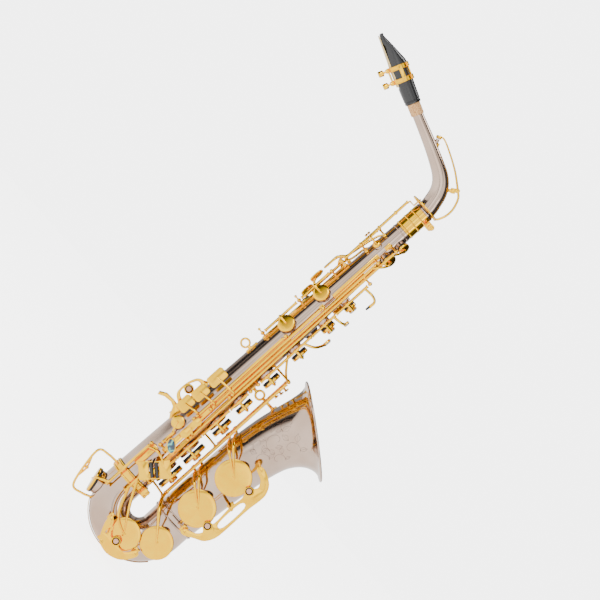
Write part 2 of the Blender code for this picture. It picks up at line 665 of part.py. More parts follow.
def octave_parts():
    line = OCTAVE_LINE
    touch = Vector((-29, 9, 385))
    shapes = [tube_on(line, 399, 499), touch_plate(touch, (-1, 0, 0), 14, 22),
              wire([around(line, 403), Vector((-28, 3, 396)), touch], 1.6),
              wire([around(line, 496), Vector((-21.5, -8, 500.5)), Vector((-14.9, -9.0, 500.5)),
                    Vector((-14.9, -9.0, 510.5))], 1.1)]
    node("octave_lever", shapes, GOLD, pivot=around(line, 449))
    hinge = Vector((8.0, 0, 551.0))
    shapes = [cylinder(hinge - Vector((0, 3.4, 0)), hinge + Vector((0, 3.4, 0)), 2.0, 10),
              wire([hinge, Vector((-14, 0, 565)), Vector((-44, 0, 578)), Vector((-53.5, 0, 578))], 1.4),
              cylinder(Vector((-53.1, 0, 573.9)), Vector((-54.5, 0, 577.8)), 3.6, 10),
              wire([hinge, Vector((15, 0, 545)), Vector((20, 0, 533)), Vector((20.5, 0, 522)),
                    Vector((17.5, 0, 512)), Vector((14.6, 0, 508.6))], 1.4),
              ring((-3.2, 0, 508.6), (0, 0, 1), 18.0, 1.1, 18)]
    node("neck_octave_key", shapes, GOLD, pivot=hinge, axis=(0, 1, 0))


# Large cups: name, cup centre (x, z), tone hole rim (y), bore, hinge rod (y), tube heights, touch height
BELL_ROD_X = 40.2
LARGE_KEYS = [("low_b", 82, 133, -34.0, 17.5, -1.0, (143, 251), 231),
              ("low_bb", 79, 78, -32.0, 18.0, -9.0, (59, 251), 238),
              ("low_c_sharp", 76, 16, -29.5, 15.5, -17.0, (59, 251), 245)]


def large_cup(name, x, z, top, bore, pivot, turn):
    """Thick leather pad held in a dished cup; both turn with their key."""
    pad = cylinder((x, top - GAP, z), (x, top - GAP - PAD_THICK, z), bore + WALL + 1.0, 18)
    node(name + "_pad", [pad], LEATHER, pivot=pivot, turn=turn)
    low = top - GAP - PAD_THICK - GAP
    return cylinder((x, low, z), (x, low - CUP_THICK, z), bore + WALL + 2.6, 18), low - CUP_THICK


def bell_keys():
    for name, x, z, top, bore, rod_y, heights, touch_z in LARGE_KEYS:
        rod = (BELL_ROD_X, rod_y)
        pivot = Vector((*rod, (heights[0] + heights[1]) / 2))
        cup, face = large_cup(name, x, z, top, bore, pivot, -BELL_OPEN)
        tube = cylinder((*rod, heights[0]), (*rod, heights[1]), ROD_RADIUS, 10)
        if name == "low_c_sharp":
            paths = [((*rod, 63), (42.0, -26, 54), (54, face - 3, 40), (x, face - 0.6, z))]
        else:
            paths = [((*rod, z + high), (45.6, rod_y - 8, z + high * 0.95), (47, -24, z + high * 0.85),
                      (57, face - 1.4, z + high * 0.6), (x + 2, face - 0.6, z)) for high in (38, 27)]
        arms = [wire(path, 1.4) for path in paths]
        bar = wire([(*rod, touch_z), (44.4, rod_y + 6, touch_z), (45.4, 6, touch_z), (45, 16, touch_z)],
                   1.3)
        touch = touch_plate(Vector((45.0, 21, touch_z)), (1, 0, 0), 18, 5.4)
        node(name + "_key", [tube, cup, *arms, bar, touch], GOLD, pivot=pivot, turn=-BELL_OPEN)


def bell_rod_rib():
    """Strip on the left of the body whose arms reach round to the bell keys' rods."""
    angle, z_low, z_high = -60, 52, 290
    low = outward(angle) * (body_radius(z_low) + 0.9) + Vector((0, 0, z_low))
    high = outward(angle) * (body_radius(z_high) + 0.9) + Vector((0, 0, z_high))
    direction = (high - low).normalized()
    sideways = direction.cross(outward(angle)).normalized()
    turn = Matrix((sideways.cross(direction), sideways, direction)).transposed().to_4x4()
    strip = block((low + high) / 2, (2.2, 6, (high - low).length), turn)
    shapes = [strip]
    for z, ends in ((56.2, (-9.0, -17.0)), (139.5, (-1.0,)), (254.0, (-1.0, -9.0, -17.0))):
        foot = outward(angle) * (body_radius(z) + 1.0) + Vector((0, 0, z))
        route = [foot, (28, 15, z), (38, ends[0] + 6, z), (BELL_ROD_X, ends[0] + 1.0, z)]
        if len(ends) > 1:
            route.append((BELL_ROD_X, ends[-1] - 1.5, z))
        shapes.append(wire(route, 1.4))
        shapes += [ball((BELL_ROD_X, y, z), 2.4) for y in ends]
    foot = outward(angle) * (body_radius(287) + 1.0) + Vector((0, 0, 287))
    shapes += [cylinder(foot, around(G_SHARP_LINE, 287), 1.5, 8), ball(around(G_SHARP_LINE, 287), 2.4)]
    hollow = cylinder((0, 0, z_low - 5), (0, 0, z_high + 5), body_radius(z_low - 5) + GAP, 32,
                      body_radius(z_high + 5) + GAP)
    node("bell_rod_rib", shapes, GOLD, cuts=[hollow, *chimney_room(angle, z_low, z_high)])


def g_sharp_key():
    more, top = cup_on_body(-48, 312, 8.0)
    line = G_SHARP_LINE
    touch = Vector((43.0, 22.0, 252.0))
    shapes = [tube_on(line, 290, 330), *more, touch_plate(touch, (1, 0, 0), 18, 6),
              wire([around(line, 296), Vector((14, 29, 282)), Vector((33, 27, 260)), touch], 1.5),
              wire([around(line, 312), around((-66, 27.0), 312), top], 1.5)]
    node("g_sharp_key", shapes, GOLD, pivot=around(line, 310))


# Keys of the bow, worked by the right little finger
EB_ROD = (-15.5, -25.0)
C_ROD = (4.0, -30.5)
TABLE_FACE = -37.0
ROLLER_LINE = Vector((18, 0, -14)).normalized()
TABLE_CENTRE = Vector((9, TABLE_FACE, 71))


def bow_keys():
    aside = Vector((ROLLER_LINE.z, 0, -ROLLER_LINE.x)) * -1
    lean = math.atan2(-ROLLER_LINE.z, ROLLER_LINE.x)
    spin = Matrix.Rotation(lean, 4, "Y")
    eb_touch = TABLE_CENTRE + aside * 10.2
    c_touch = TABLE_CENTRE - aside * 10.2
    for name, side in (("roller_eb", 1), ("roller_c", -1)):
        middle = TABLE_CENTRE + aside * 2.6 * side
        node(name, [cylinder(middle - ROLLER_LINE * 9, middle + ROLLER_LINE * 9, 2.1, 10)], EBONITE,
             pivot=middle)

    facing = Vector((-0.966, 0, -0.259))
    base = Vector((2.2, 0, 16.5)) + facing * (25.8 + GAP)
    top = base + facing * (PAD_THICK + CUP_THICK)
    shapes = [cylinder((*EB_ROD, 18), (*EB_ROD, 86), ROD_RADIUS, 10), cylinder(base, top, 15.7, 16),
              wire([(*EB_ROD, 22), (-27.5, -19, 15), top + facing * 1.2], 1.8),
              block(eb_touch, (21, 1.8, 9), spin),
              wire([(*EB_ROD, 83), (-6, -34.5, 88), (6, -36.8, 86), eb_touch], 1.5)]
    shapes += roller_cheeks(TABLE_CENTRE + aside * 2.6, aside, spin)
    node("low_eb_key", shapes, GOLD, pivot=(*EB_ROD, 52))

    pivot = Vector((*C_ROD, 44))
    cup, face = large_cup("low_c", 41, -5, -28.5, 15.5, pivot, -BELL_OPEN)
    shapes = [cylinder((*C_ROD, 29), (*C_ROD, 58), ROD_RADIUS, 10), cup,
              wire([(*C_ROD, 50), (20, face - 2, 24), (41, face - 0.6, -5)], 1.6),
              wire([(*C_ROD, 36), (20, face - 2.4, 6), (41, face - 0.6, -5)], 1.6),
              block(c_touch, (21, 1.8, 9), spin), wire([(*C_ROD, 54), c_touch], 1.5)]
    shapes += roller_cheeks(TABLE_CENTRE - aside * 2.6, -aside, spin)
    node("low_c_key", shapes, GOLD, pivot=pivot, turn=-BELL_OPEN)
    roller = bpy.data.objects["roller_c"]
    offset = Matrix.Rotation(math.radians(-BELL_OPEN), 4, "Z")
    turned = pivot + offset @ (roller.location / MM - pivot)
    roller.location = turned * MM
    roller.rotation_axis_angle = (math.radians(-BELL_OPEN), 0, 0, 1)


def roller_cheeks(middle, away, spin):
    """Ears at both ends of a roller, reaching back to their touch."""
    return [block(middle + ROLLER_LINE * 9.9 * end + away * 2.2, (1.2, 2.0, 8.0), spin) for end in (-1, 1)]


def bow_posts():
    """Posts on the bow and lower body for the two little finger keys."""
    shapes = [block((0.6, -24.3, 61.5), (18, 2.2, 4.0)),
              cylinder((*C_ROD, 61), (3, -23.5, 61), 1.4, 8), ball((*C_ROD, 61), 2.4),
              cylinder((*EB_ROD, 89), (-11, -20.0, 89), 1.4, 8), ball((*EB_ROD, 89), 2.4),
              block((-9.6, -22.2, 75), (3.4, 13, 31), Matrix.Rotation(math.radians(66), 4, "Z"))]
    hollow = cylinder((0, 0, 49), (0, 0, 95), body_radius(49) + GAP, 32, body_radius(95) + GAP)
    node("little_finger_posts", shapes, GOLD, cuts=[hollow])


# ---------------------------------------------------------------- guards and fittings
def facing_plate(outline, y, thickness, holes=()):
    """Plate in a plane that faces the player's right."""
    standing = Matrix.Translation((0, y, 0)) @ Matrix.Rotation(math.radians(90), 4, "X")
    return plate(outline, thickness, standing, holes)


def guards():
    outline = [(87, 166), (96, 166), (109, 159), (115, 149), (116, 139), (114.5, 120), (114.5, 84),
               (113, 70), (107, 59), (97, 53), (86, 46.5), (80, 47), (81, 52), (93, 58), (98, 65),
               (93, 70), (93, 77), (99.5, 82), (98, 107), (99.5, 124), (97, 133), (99.5, 141),
               (103, 147), (98, 155), (86, 160)]
    window = [(103, 86), (110, 86), (110, 119), (103, 119)]
    shapes = [facing_plate(outline, -51.6, 1.4, [window])]
    for x, z, root_y in ((91, 163, -28), (101, 107, -13.6), (84, 49.5, -27.6)):
        shapes.append(cylinder((x, root_y, z), (x, -51.8, z), 1.8, 8))
    cuts = [loft([(Vector((x, 0, z)), tilt, radius + GAP + 0.1) for x, z, tilt, radius in BELL_ROWS], 36)]
    node("bell_key_guard", shapes, GOLD, cuts=cuts)

    crescent = [(14, 1), (14, -10), (24, -28), (34, -33), (46, -33), (60, -26), (69, -10), (63, -6),
                (55, -18), (44, -17), (38, -9), (33, -17), (25, -10), (20, -2)]
    shapes = [facing_plate(crescent, -46.4, 1.4)]
    for x, z, root_y in ((17, -3, -25.2), (28, -28.5, -15.5), (65.5, -9.5, -25.5)):
        shapes.append(cylinder((x, root_y, z), (x, -46.6, z), 1.8, 8))
    rows = bow_sections(GAP + 0.1, 0.0)
    node("low_c_guard", shapes, GOLD, cuts=[loft(rows, 28)])

    frame = wire([(-26.2, 0, 42), (-36, 0, 41), (-49, 0, 36), (-46, 0, 12), (-38, 0, -14), (-24, 0, -12.5),
                  (-16.0, 0, -8)], 1.5)
    bar = wire([(-47.6, 0, 24), (-42.5, 0, 12), (-42.4, 0, -0.5)], 1.2)
    node("low_eb_guard", [frame, bar], GOLD, cuts=[loft(bow_sections(GAP + 0.1, 0.0), 28)])


def fittings():
    hoop = ring(RING_CENTRE, (0, 1, 0), 5.2, 1.3, 20)
    stem = cylinder((-20.6, 0, 247), (-17.5, 0, 247), 1.6, 8)
    foot = block((-18.6, 0, 249), (2.2, 8, 17))
    hollow = cylinder((0, 0, 230), (0, 0, 270), body_radius(230) + GAP, 32, body_radius(270) + GAP)
    node("strap_ring", [hoop, stem, foot], GOLD, cuts=[hollow])
    hook = [(-20.5, 124), (-20.5, 146), (-24, 145), (-27, 140), (-34, 140.5), (-44, 140), (-52, 135),
            (-51, 131), (-44, 135), (-34, 136.5), (-28, 134), (-24, 126)]
    hollow = cylinder((0, 0, 110), (0, 0, 160), body_radius(110) + GAP, 32, body_radius(160) + GAP)
    node("thumb_hook", [plate(hook, 10, Matrix.Rotation(math.radians(90), 4, "X"))], GOLD, cuts=[hollow])
    rest = cylinder((-11.4, 3.8, 333), (-18.2, 6.1, 333), 7.5, 14)
    hollow = cylinder((0, 0, 320), (0, 0, 350), body_radius(320) + GAP, 32, body_radius(350) + GAP)
    node("thumb_rest", [rest], EBONITE, cuts=[hollow])


body_tube()
bow()
bell()
joint_rings()
brace()
neck()
mouthpiece()
ligature()
receiver()
ribs()
stack_keys()
side_keys()
alt_f_sharp()
palm_keys()
octave_parts()
bell_rod_rib()
bell_keys()
g_sharp_key()
bow_keys()
bow_posts()
guards()
fittings()
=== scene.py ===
# Alto saxophone: nickel-silver body, bow, bell and neck, gold-lacquered keywork, ebonite mouthpiece.
# The CAD frame holds every place and joint. Here each part gets its finished surface.
# Inside the script lengths are millimetres from the body tube's axis; finishPiece() puts them in the frame.
import math

import bmesh
import bpy
from mathutils import Matrix, Vector


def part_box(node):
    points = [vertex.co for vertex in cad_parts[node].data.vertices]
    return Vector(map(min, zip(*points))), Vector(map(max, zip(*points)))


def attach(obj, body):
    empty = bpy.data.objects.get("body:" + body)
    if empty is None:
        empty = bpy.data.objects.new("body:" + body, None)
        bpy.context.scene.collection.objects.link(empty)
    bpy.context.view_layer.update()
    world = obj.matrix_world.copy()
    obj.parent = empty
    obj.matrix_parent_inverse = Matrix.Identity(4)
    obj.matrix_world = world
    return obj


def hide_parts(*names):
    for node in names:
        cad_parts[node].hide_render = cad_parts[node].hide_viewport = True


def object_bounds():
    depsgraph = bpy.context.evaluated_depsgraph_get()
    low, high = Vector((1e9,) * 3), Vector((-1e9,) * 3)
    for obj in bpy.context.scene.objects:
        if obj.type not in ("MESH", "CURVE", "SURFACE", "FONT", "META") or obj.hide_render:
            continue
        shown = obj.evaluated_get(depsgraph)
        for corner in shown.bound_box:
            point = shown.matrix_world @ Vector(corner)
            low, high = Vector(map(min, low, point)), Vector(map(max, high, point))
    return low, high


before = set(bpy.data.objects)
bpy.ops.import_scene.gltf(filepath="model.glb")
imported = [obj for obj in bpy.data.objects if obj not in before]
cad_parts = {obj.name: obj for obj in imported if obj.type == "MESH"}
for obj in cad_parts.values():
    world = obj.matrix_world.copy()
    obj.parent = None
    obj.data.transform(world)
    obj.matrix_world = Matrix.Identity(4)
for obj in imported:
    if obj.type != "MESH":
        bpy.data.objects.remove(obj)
cadBox = [list(corner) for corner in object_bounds()]

mm = 0.001
horn = {
    "bottom": 49.0, "top": 471.7,       # body tube, heights along its axis
    "lowRadius": 22.775, "taper": 0.025, "wall": 1.0,
    "bowRadius": 36.0, "bowHeight": 25.0,
    "rimRadius": 59.9, "rimTilt": 34.2, "rimX": 106.0, "rimZ": 237.0,
    "neckTilt": 20.0, "corkStart": (-103.0, 0.0, 579.5),
    "chimneyRise": 3.0,                 # tone hole rims above the tube
}
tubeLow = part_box("body_tube")[0]
axisShift = Vector((tubeLow[0] + horn["lowRadius"] * mm, 0.0, tubeLow[2] - horn["bottom"] * mm))


def bodyRadius(z):
    return horn["lowRadius"] - horn["taper"] * (z - horn["bottom"])


# Point at an angle from the front towards the player's right, a distance out, at a height
def around(line, z):
    turn = math.radians(line[0])
    return Vector((line[1] * math.cos(turn), -line[1] * math.sin(turn), z))


def outward(angle):
    return around((angle, 1.0), 0.0)


def linear(hexColour):
    channels = [int(hexColour[i:i + 2], 16) / 255 for i in (1, 3, 5)]
    return tuple(c / 12.92 if c <= 0.04045 else ((c + 0.055) / 1.055) ** 2.4 for c in channels) + (1.0,)


def addNode(tree, kind, links=(), **settings):
    node = tree.nodes.new(kind)
    for name, value in settings.items():
        if name.startswith("in_"):
            key = name[3:]
            node.inputs[int(key) if key.isdigit() else key.replace("_", " ")].default_value = value
        else:
            setattr(node, name, value)
    for socket, target in links:
        tree.links.new(socket, node.inputs[target])
    return node


def newMaterial(name, **shaderValues):
    material = bpy.data.materials.new(name)
    material.use_nodes = True
    shader = material.node_tree.nodes["Principled BSDF"]
    for key, value in shaderValues.items():
        shader.inputs[key.replace("_", " ")].default_value = value
    return material, material.node_tree, shader


def setRamp(ramp, stops):
    elements = ramp.color_ramp.elements
    while len(elements) < len(stops):
        elements.new(0.5)
    for element, (place, colour) in zip(elements, stops):
        element.position = place
        element.color = colour if len(colour) == 4 else (*colour, 1.0)


def objectPlace(tree):
    return addNode(tree, "ShaderNodeTexCoord").outputs["Object"]


# Brass, buffed then sprayed with tinted gold lacquer: a deep yellow mirror with a soft clear top
def lacqueredBrass():
    rough = 0.11
    material, tree, shader = newMaterial("lacqueredBrass", Metallic=1.0, Roughness=rough)
    place = objectPlace(tree)
    cloud = addNode(tree, "ShaderNodeTexNoise", [(place, "Vector")], in_Scale=90.0, in_Detail=3.0)
    colours = addNode(tree, "ShaderNodeValToRGB", [(cloud.outputs["Fac"], "Fac")])
    setRamp(colours, [(0.35, linear("#FFC000")), (0.7, linear("#FFCA1C"))])
    tree.links.new(colours.outputs["Color"], shader.inputs["Base Color"])
    wipe = addNode(tree, "ShaderNodeTexNoise", [(place, "Vector")], in_Scale=420.0, in_Detail=4.0)
    gloss = addNode(tree, "ShaderNodeMapRange", [(wipe.outputs["Fac"], "Value")], in_3=rough * 0.7,
                    in_4=rough * 1.5)
    tree.links.new(gloss.outputs["Result"], shader.inputs["Roughness"])
    ripple = addNode(tree, "ShaderNodeBump", [(wipe.outputs["Fac"], "Height")], in_Strength=0.04,
                     in_Distance=0.0004)
    tree.links.new(ripple.outputs["Normal"], shader.inputs["Normal"])
    return material


# Nickel silver, drawn and buffed along the tube: a warm pinkish grey mirror with faint long buff lines
def nickelSilver():
    material, tree, shader = newMaterial("nickelSilver", Metallic=1.0, Roughness=0.1)
    place = objectPlace(tree)
    stretch = addNode(tree, "ShaderNodeMapping", [(place, "Vector")], in_Scale=(1.0, 1.0, 0.06))
    buff = addNode(tree, "ShaderNodeTexNoise", [(stretch.outputs["Vector"], "Vector")], in_Scale=1400.0,
                   in_Detail=3.0)
    cloud = addNode(tree, "ShaderNodeTexNoise", [(place, "Vector")], in_Scale=30.0, in_Detail=2.0)
    colours = addNode(tree, "ShaderNodeValToRGB", [(cloud.outputs["Fac"], "Fac")])
    setRamp(colours, [(0.3, linear("#B59B89")), (0.7, linear("#C3AC9B"))])
    gloss = addNode(tree, "ShaderNodeMapRange", [(buff.outputs["Fac"], "Value")], in_3=0.06, in_4=0.14)
    bump = addNode(tree, "ShaderNodeBump", [(buff.outputs["Fac"], "Height")], in_Strength=0.05,
                   in_Distance=0.0002)
    tree.links.new(colours.outputs["Color"], shader.inputs["Base Color"])
    tree.links.new(gloss.outputs["Result"], shader.inputs["Roughness"])
    tree.links.new(bump.outputs["Normal"], shader.inputs["Normal"])
    return material


# Hard rubber, turned and polished: near black with a satin gloss and fine turning marks
def polishedEbonite():
    material, tree, shader = newMaterial("polishedEbonite", Base_Color=linear("#0B0B0D"), Roughness=0.22,
                                         IOR=1.6)
    marks = addNode(tree, "ShaderNodeTexNoise", [(objectPlace(tree), "Vector")], in_Scale=900.0,
                    in_Detail=5.0)
    gloss = addNode(tree, "ShaderNodeMapRange", [(marks.outputs["Fac"], "Value")], in_3=0.16, in_4=0.32)
    bump = addNode(tree, "ShaderNodeBump", [(marks.outputs["Fac"], "Height")], in_Strength=0.05,
                   in_Distance=0.0003)
    tree.links.new(gloss.outputs["Result"], shader.inputs["Roughness"])
    tree.links.new(bump.outputs["Normal"], shader.inputs["Normal"])
    return material


# Waxed kid leather over felt: dark brown-black, soft grain about half a millimetre across. Also laid as
# painted shade in screw slots, the bumper groove and the gap under the front cups
def padLeatherAndShade():
    material, tree, shader = newMaterial("padLeatherAndShade", Base_Color=linear("#17120F"), Roughness=0.62)
    grain = addNode(tree, "ShaderNodeTexVoronoi", [(objectPlace(tree), "Vector")], in_Scale=2000.0)
    bump = addNode(tree, "ShaderNodeBump", [(grain.outputs["Distance"], "Height")], in_Strength=0.35,
                   in_Distance=0.0003)
    tree.links.new(bump.outputs["Normal"], shader.inputs["Normal"])
    return material


# Sheet cork, sanded: tan with darker flecks one to two millimetres long
def sandedCork():
    material, tree, shader = newMaterial("sandedCork", Roughness=0.85)
    place = objectPlace(tree)
    flecks = addNode(tree, "ShaderNodeTexVoronoi", [(place, "Vector")], in_Scale=900.0, in_Randomness=1.0)
    cloud = addNode(tree, "ShaderNodeTexNoise", [(place, "Vector")], in_Scale=600.0, in_Detail=4.0)
    mix = addNode(tree, "ShaderNodeMath", [(flecks.outputs["Distance"], 0), (cloud.outputs["Fac"], 1)],
                  operation="MULTIPLY")
    colours = addNode(tree, "ShaderNodeValToRGB", [(mix.outputs["Value"], "Fac")])
    setRamp(colours, [(0.05, linear("#7A4E28")), (0.16, linear("#C08A52")), (0.4, linear("#DDB07A"))])
    bump = addNode(tree, "ShaderNodeBump", [(mix.outputs["Value"], "Height")], in_Strength=0.4,
                   in_Distance=0.0004)
    tree.links.new(colours.outputs["Color"], shader.inputs["Base Color"])
    tree.links.new(bump.outputs["Normal"], shader.inputs["Normal"])
    return material


# Cane reed, cut along the grain: pale straw with fine fibres
def cutCane():
    material, tree, shader = newMaterial("cutCane", Roughness=0.5)
    turn = addNode(tree, "ShaderNodeMapping", [(objectPlace(tree), "Vector")],
                   in_Rotation=(0.0, math.radians(20), 0.0), in_Scale=(0.05, 1.0, 1.0))
    fibre = addNode(tree, "ShaderNodeTexNoise", [(turn.outputs["Vector"], "Vector")], in_Scale=2600.0,
                    in_Detail=3.0)
    colours = addNode(tree, "ShaderNodeValToRGB", [(fibre.outputs["Fac"], "Fac")])
    setRamp(colours, [(0.3, linear("#C9A765")), (0.7, linear("#EBD49B"))])
    tree.links.new(colours.outputs["Color"], shader.inputs["Base Color"])
    return material


# Mother-of-pearl button: grey with cloudy silver swirls under a hard polish
def greyPearl():
    material, tree, shader = newMaterial("greyPearl", Roughness=0.16, IOR=1.55, Coat_Weight=0.6,
                                         Coat_Roughness=0.05)
    swirl = addNode(tree, "ShaderNodeTexNoise", [(objectPlace(tree), "Vector")], in_Scale=260.0,
                    in_Detail=4.0, in_Distortion=1.6)
    colours = addNode(tree, "ShaderNodeValToRGB", [(swirl.outputs["Fac"], "Fac")])
    setRamp(colours, [(0.3, linear("#5C6066")), (0.5, linear("#9A9FA6")), (0.7, linear("#D9DADF"))])
    tree.links.new(colours.outputs["Color"], shader.inputs["Base Color"])
    return material


# Abalone shell: blue-green bands that turn to deep teal, hard and glossy
def abaloneShell():
    material, tree, shader = newMaterial("abaloneShell", Roughness=0.12, IOR=1.55, Coat_Weight=0.8,
                                         Coat_Roughness=0.04)
    bands = addNode(tree, "ShaderNodeTexWave", [(objectPlace(tree), "Vector")], in_Scale=42.0,
                    in_Distortion=14.0, in_Detail=3.0, in_Detail_Scale=1.4)
    colours = addNode(tree, "ShaderNodeValToRGB", [(bands.outputs["Fac"], "Fac")])
    setRamp(colours, [(0.1, linear("#062238")), (0.45, linear("#0B4A63")), (0.7, linear("#1F8A86")),
                      (0.92, linear("#6FBFA6"))])
    tree.links.new(colours.outputs["Color"], shader.inputs["Base Color"])
    return material


# Wool felt bumper: dull, fuzzy, oatmeal coloured
def woolFelt():
    material, tree, shader = newMaterial("woolFelt", Roughness=0.95, Sheen_Weight=0.4)
    fuzz = addNode(tree, "ShaderNodeTexNoise", [(objectPlace(tree), "Vector")], in_Scale=1800.0,
                   in_Detail=4.0)
    colours = addNode(tree, "ShaderNodeValToRGB", [(fuzz.outputs["Fac"], "Fac")])
    setRamp(colours, [(0.3, linear("#C98F6E")), (0.7, linear("#E6B796"))])
    tree.links.new(colours.outputs["Color"], shader.inputs["Base Color"])
    return material


# Graver cuts in the nickel silver: crisp hair lines in a darker metal colour, a painted shade for the dark
# side of the room that the cuts catch
def graverCutShade():
    material, tree, shader = newMaterial("graverCutShade", Metallic=1.0, Base_Color=linear("#6A5148"),
                                         Roughness=0.3)
    grain = addNode(tree, "ShaderNodeTexNoise", [(objectPlace(tree), "Vector")], in_Scale=1500.0)
    gloss = addNode(tree, "ShaderNodeMapRange", [(grain.outputs["Fac"], "Value")], in_3=0.2, in_4=0.45)
    tree.links.new(gloss.outputs["Result"], shader.inputs["Roughness"])
    return material


brass = lacqueredBrass()
cutLineShade = graverCutShade()
nickel = nickelSilver()
ebonite = polishedEbonite()
leatherAndShade = padLeatherAndShade()
corkSheet = sandedCork()
cane = cutCane()
pearlShell = greyPearl()
abalone = abaloneShell()
felt = woolFelt()
print("materials ready")


def startPiece():
    return {"bm": bmesh.new(), "finishes": []}


def finishIndex(piece, material):
    if material not in piece["finishes"]:
        piece["finishes"].append(material)
    return piece["finishes"].index(material)


# Faces between loops of vertices; a loop of one vertex is a pole
def skin(piece, material, loops, closed=False, capped=True):
    bm = piece["bm"]
    index = finishIndex(piece, material)
    made = []
    count = len(loops)
    for step in range(count if closed else count - 1):
        low, high = loops[step], loops[(step + 1) % count]
        sides = max(len(low), len(high))
        for corner in range(sides):
            after = (corner + 1) % sides
            ring = [low[corner % len(low)], low[after % len(low)], high[after % len(high)],
                    high[corner % len(high)]]
            face = []
            for vertex in ring:
                if vertex not in face:
                    face.append(vertex)
            made.append(bm.faces.new(face))
    if capped and not closed:
        for loop in (loops[0], loops[-1]):
            if len(loop) > 2:
                made.append(bm.faces.new(loop))
    for face in made:
        face.material_index = index
        face.smooth = True
    return made


def axisFrame(direction):
    direction = Vector(direction).normalized()
    helper = Vector((0, 0, 1)) if abs(direction.z) < 0.9 else Vector((1, 0, 0))
    side = helper.cross(direction).normalized()
    return side, direction.cross(side), direction


# A turned shape: (distance along the axis, radius) pairs
def addTurned(piece, material, start, along, profile, sides=28, closed=False):
    side, up, direction = axisFrame(along)
    loops = []
    for distance, radius in profile:
        centre = Vector(start) + direction * distance
        if radius < 1e-5:
            loops.append([piece["bm"].verts.new(centre)])
            continue
        loops.append([piece["bm"].verts.new(centre + (side * math.cos(2 * math.pi * k / sides)
                                                      + up * math.sin(2 * math.pi * k / sides)) * radius)
                      for k in range(sides)])
    skin(piece, material, loops, closed=closed)


# Smooth curve through the points
def curvePoints(points, steps=6, closed=False):
    points = [Vector(p) for p in points]
    count = len(points)
    result = []
    for index in range(count if closed else count - 1):
        if closed:
            before, start, end, after = (points[(index + k) % count] for k in (-1, 0, 1, 2))
        else:
            start, end = points[index], points[index + 1]
            before = points[index - 1] if index else start * 2 - end
            after = points[index + 2] if index + 2 < count else end * 2 - start
        for step in range(steps):
            t = step / steps
            result.append(0.5 * (2 * start + (end - before) * t
                                 + (2 * before - 5 * start + 4 * end - after) * t * t
                                 + (3 * start - before - 3 * end + after) * t ** 3))
    if not closed:
        result.append(points[-1])
    return result


# Round or flattened bar along a smooth curve; radius is one number or one for each given point
def addTube(piece, material, points, radius, sides=12, steps=6, closed=False, flat=1.0, up=None,
            rounded=True):
    given = len(points)
    path = curvePoints(points, steps, closed) if steps > 1 else [Vector(p) for p in points]
    count = len(path)
    if isinstance(radius, (int, float)):
        radii = [radius] * count
    else:
        radii = []
        for step in range(count):
            place = step / max(count - 1, 1) * (given - 1)
            low = min(int(place), given - 2)
            radii.append(radius[low] + (radius[low + 1] - radius[low]) * (place - low))
    normal = Vector(up) if up is not None else None
    rings = []
    for step, point in enumerate(path):
        ahead = path[(step + 1) % count] if closed or step + 1 < count else point
        behind = path[step - 1] if closed or step else point
        tangent = (ahead - behind).normalized()
        if normal is None:
            normal = axisFrame(tangent)[0]
        normal = (normal - tangent * normal.dot(tangent)).normalized()
        side = tangent.cross(normal)
        rings.append((point, tangent, normal, side, radii[step]))
        if up is not None:
            normal = Vector(up)
    loops = []

    def ringAt(centre, normal, side, size):
        return [piece["bm"].verts.new(centre + (normal * math.cos(2 * math.pi * k / sides) * flat
                                                + side * math.sin(2 * math.pi * k / sides)) * size)
                for k in range(sides)]

    if rounded and not closed:
        point, tangent, normal, side, size = rings[0]
        for lean in (75, 50, 25):
            turn = math.radians(lean)
            loops.append(ringAt(point - tangent * size * math.sin(turn) * 0.8, normal, side,
                                size * math.cos(turn)))
    for point, tangent, normal, side, size in rings:
        loops.append(ringAt(point, normal, side, size))
    if rounded and not closed:
        point, tangent, normal, side, size = rings[-1]
        for lean in (25, 50, 75):
            turn = math.radians(lean)
            loops.append(ringAt(point + tangent * size * math.sin(turn) * 0.8, normal, side,
                                size * math.cos(turn)))
    skin(piece, material, loops, closed=closed)


def addRing(piece, material, centre, axis, radius, wireRadius, sides=40, wireSides=10):
    side, up = axisFrame(axis)[:2]
    points = []
    for step in range(sides):
        turn = 2 * math.pi * step / sides
        points.append(Vector(centre) + (side * math.cos(turn) + up * math.sin(turn)) * radius)
    addTube(piece, material, points, wireRadius, sides=wireSides, steps=1, closed=True)


def ballProfile(radius, steps=8, tip=0.0):
    rows = [(radius - radius * math.cos(math.pi * k / steps), radius * math.sin(math.pi * k / steps))
            for k in range(steps + 1)]
    rows[0] = (0.0, 0.0)
    rows[-1] = (2 * radius + tip, 0.0)
    return rows


def addBall(piece, material, centre, radius, axis=(0, 0, 1), sides=18):
    addTurned(piece, material, Vector(centre) - Vector(axis).normalized() * radius, axis,
              ballProfile(radius), sides)


def copyInto(piece, material, part, matrix=None):
    if matrix is not None:
        bmesh.ops.transform(part, matrix=matrix, verts=part.verts)
    index = finishIndex(piece, material)
    link = {vertex: piece["bm"].verts.new(vertex.co) for vertex in part.verts}
    for face in part.faces:
        made = piece["bm"].faces.new([link[v] for v in face.verts])
        made.material_index = index
        made.smooth = True
    part.free()


# Box with eased edges
def addBlock(piece, material, centre, size, turn=None, edge=0.5):
    part = bmesh.new()
    bmesh.ops.create_cube(part, size=1.0)
    bmesh.ops.scale(part, vec=size, verts=part.verts)
    bmesh.ops.bevel(part, geom=part.edges[:], offset=edge, segments=2, profile=0.5, affect="EDGES")
    copyInto(piece, material, part, Matrix.Translation(centre) @ (turn or Matrix.Identity(4)))


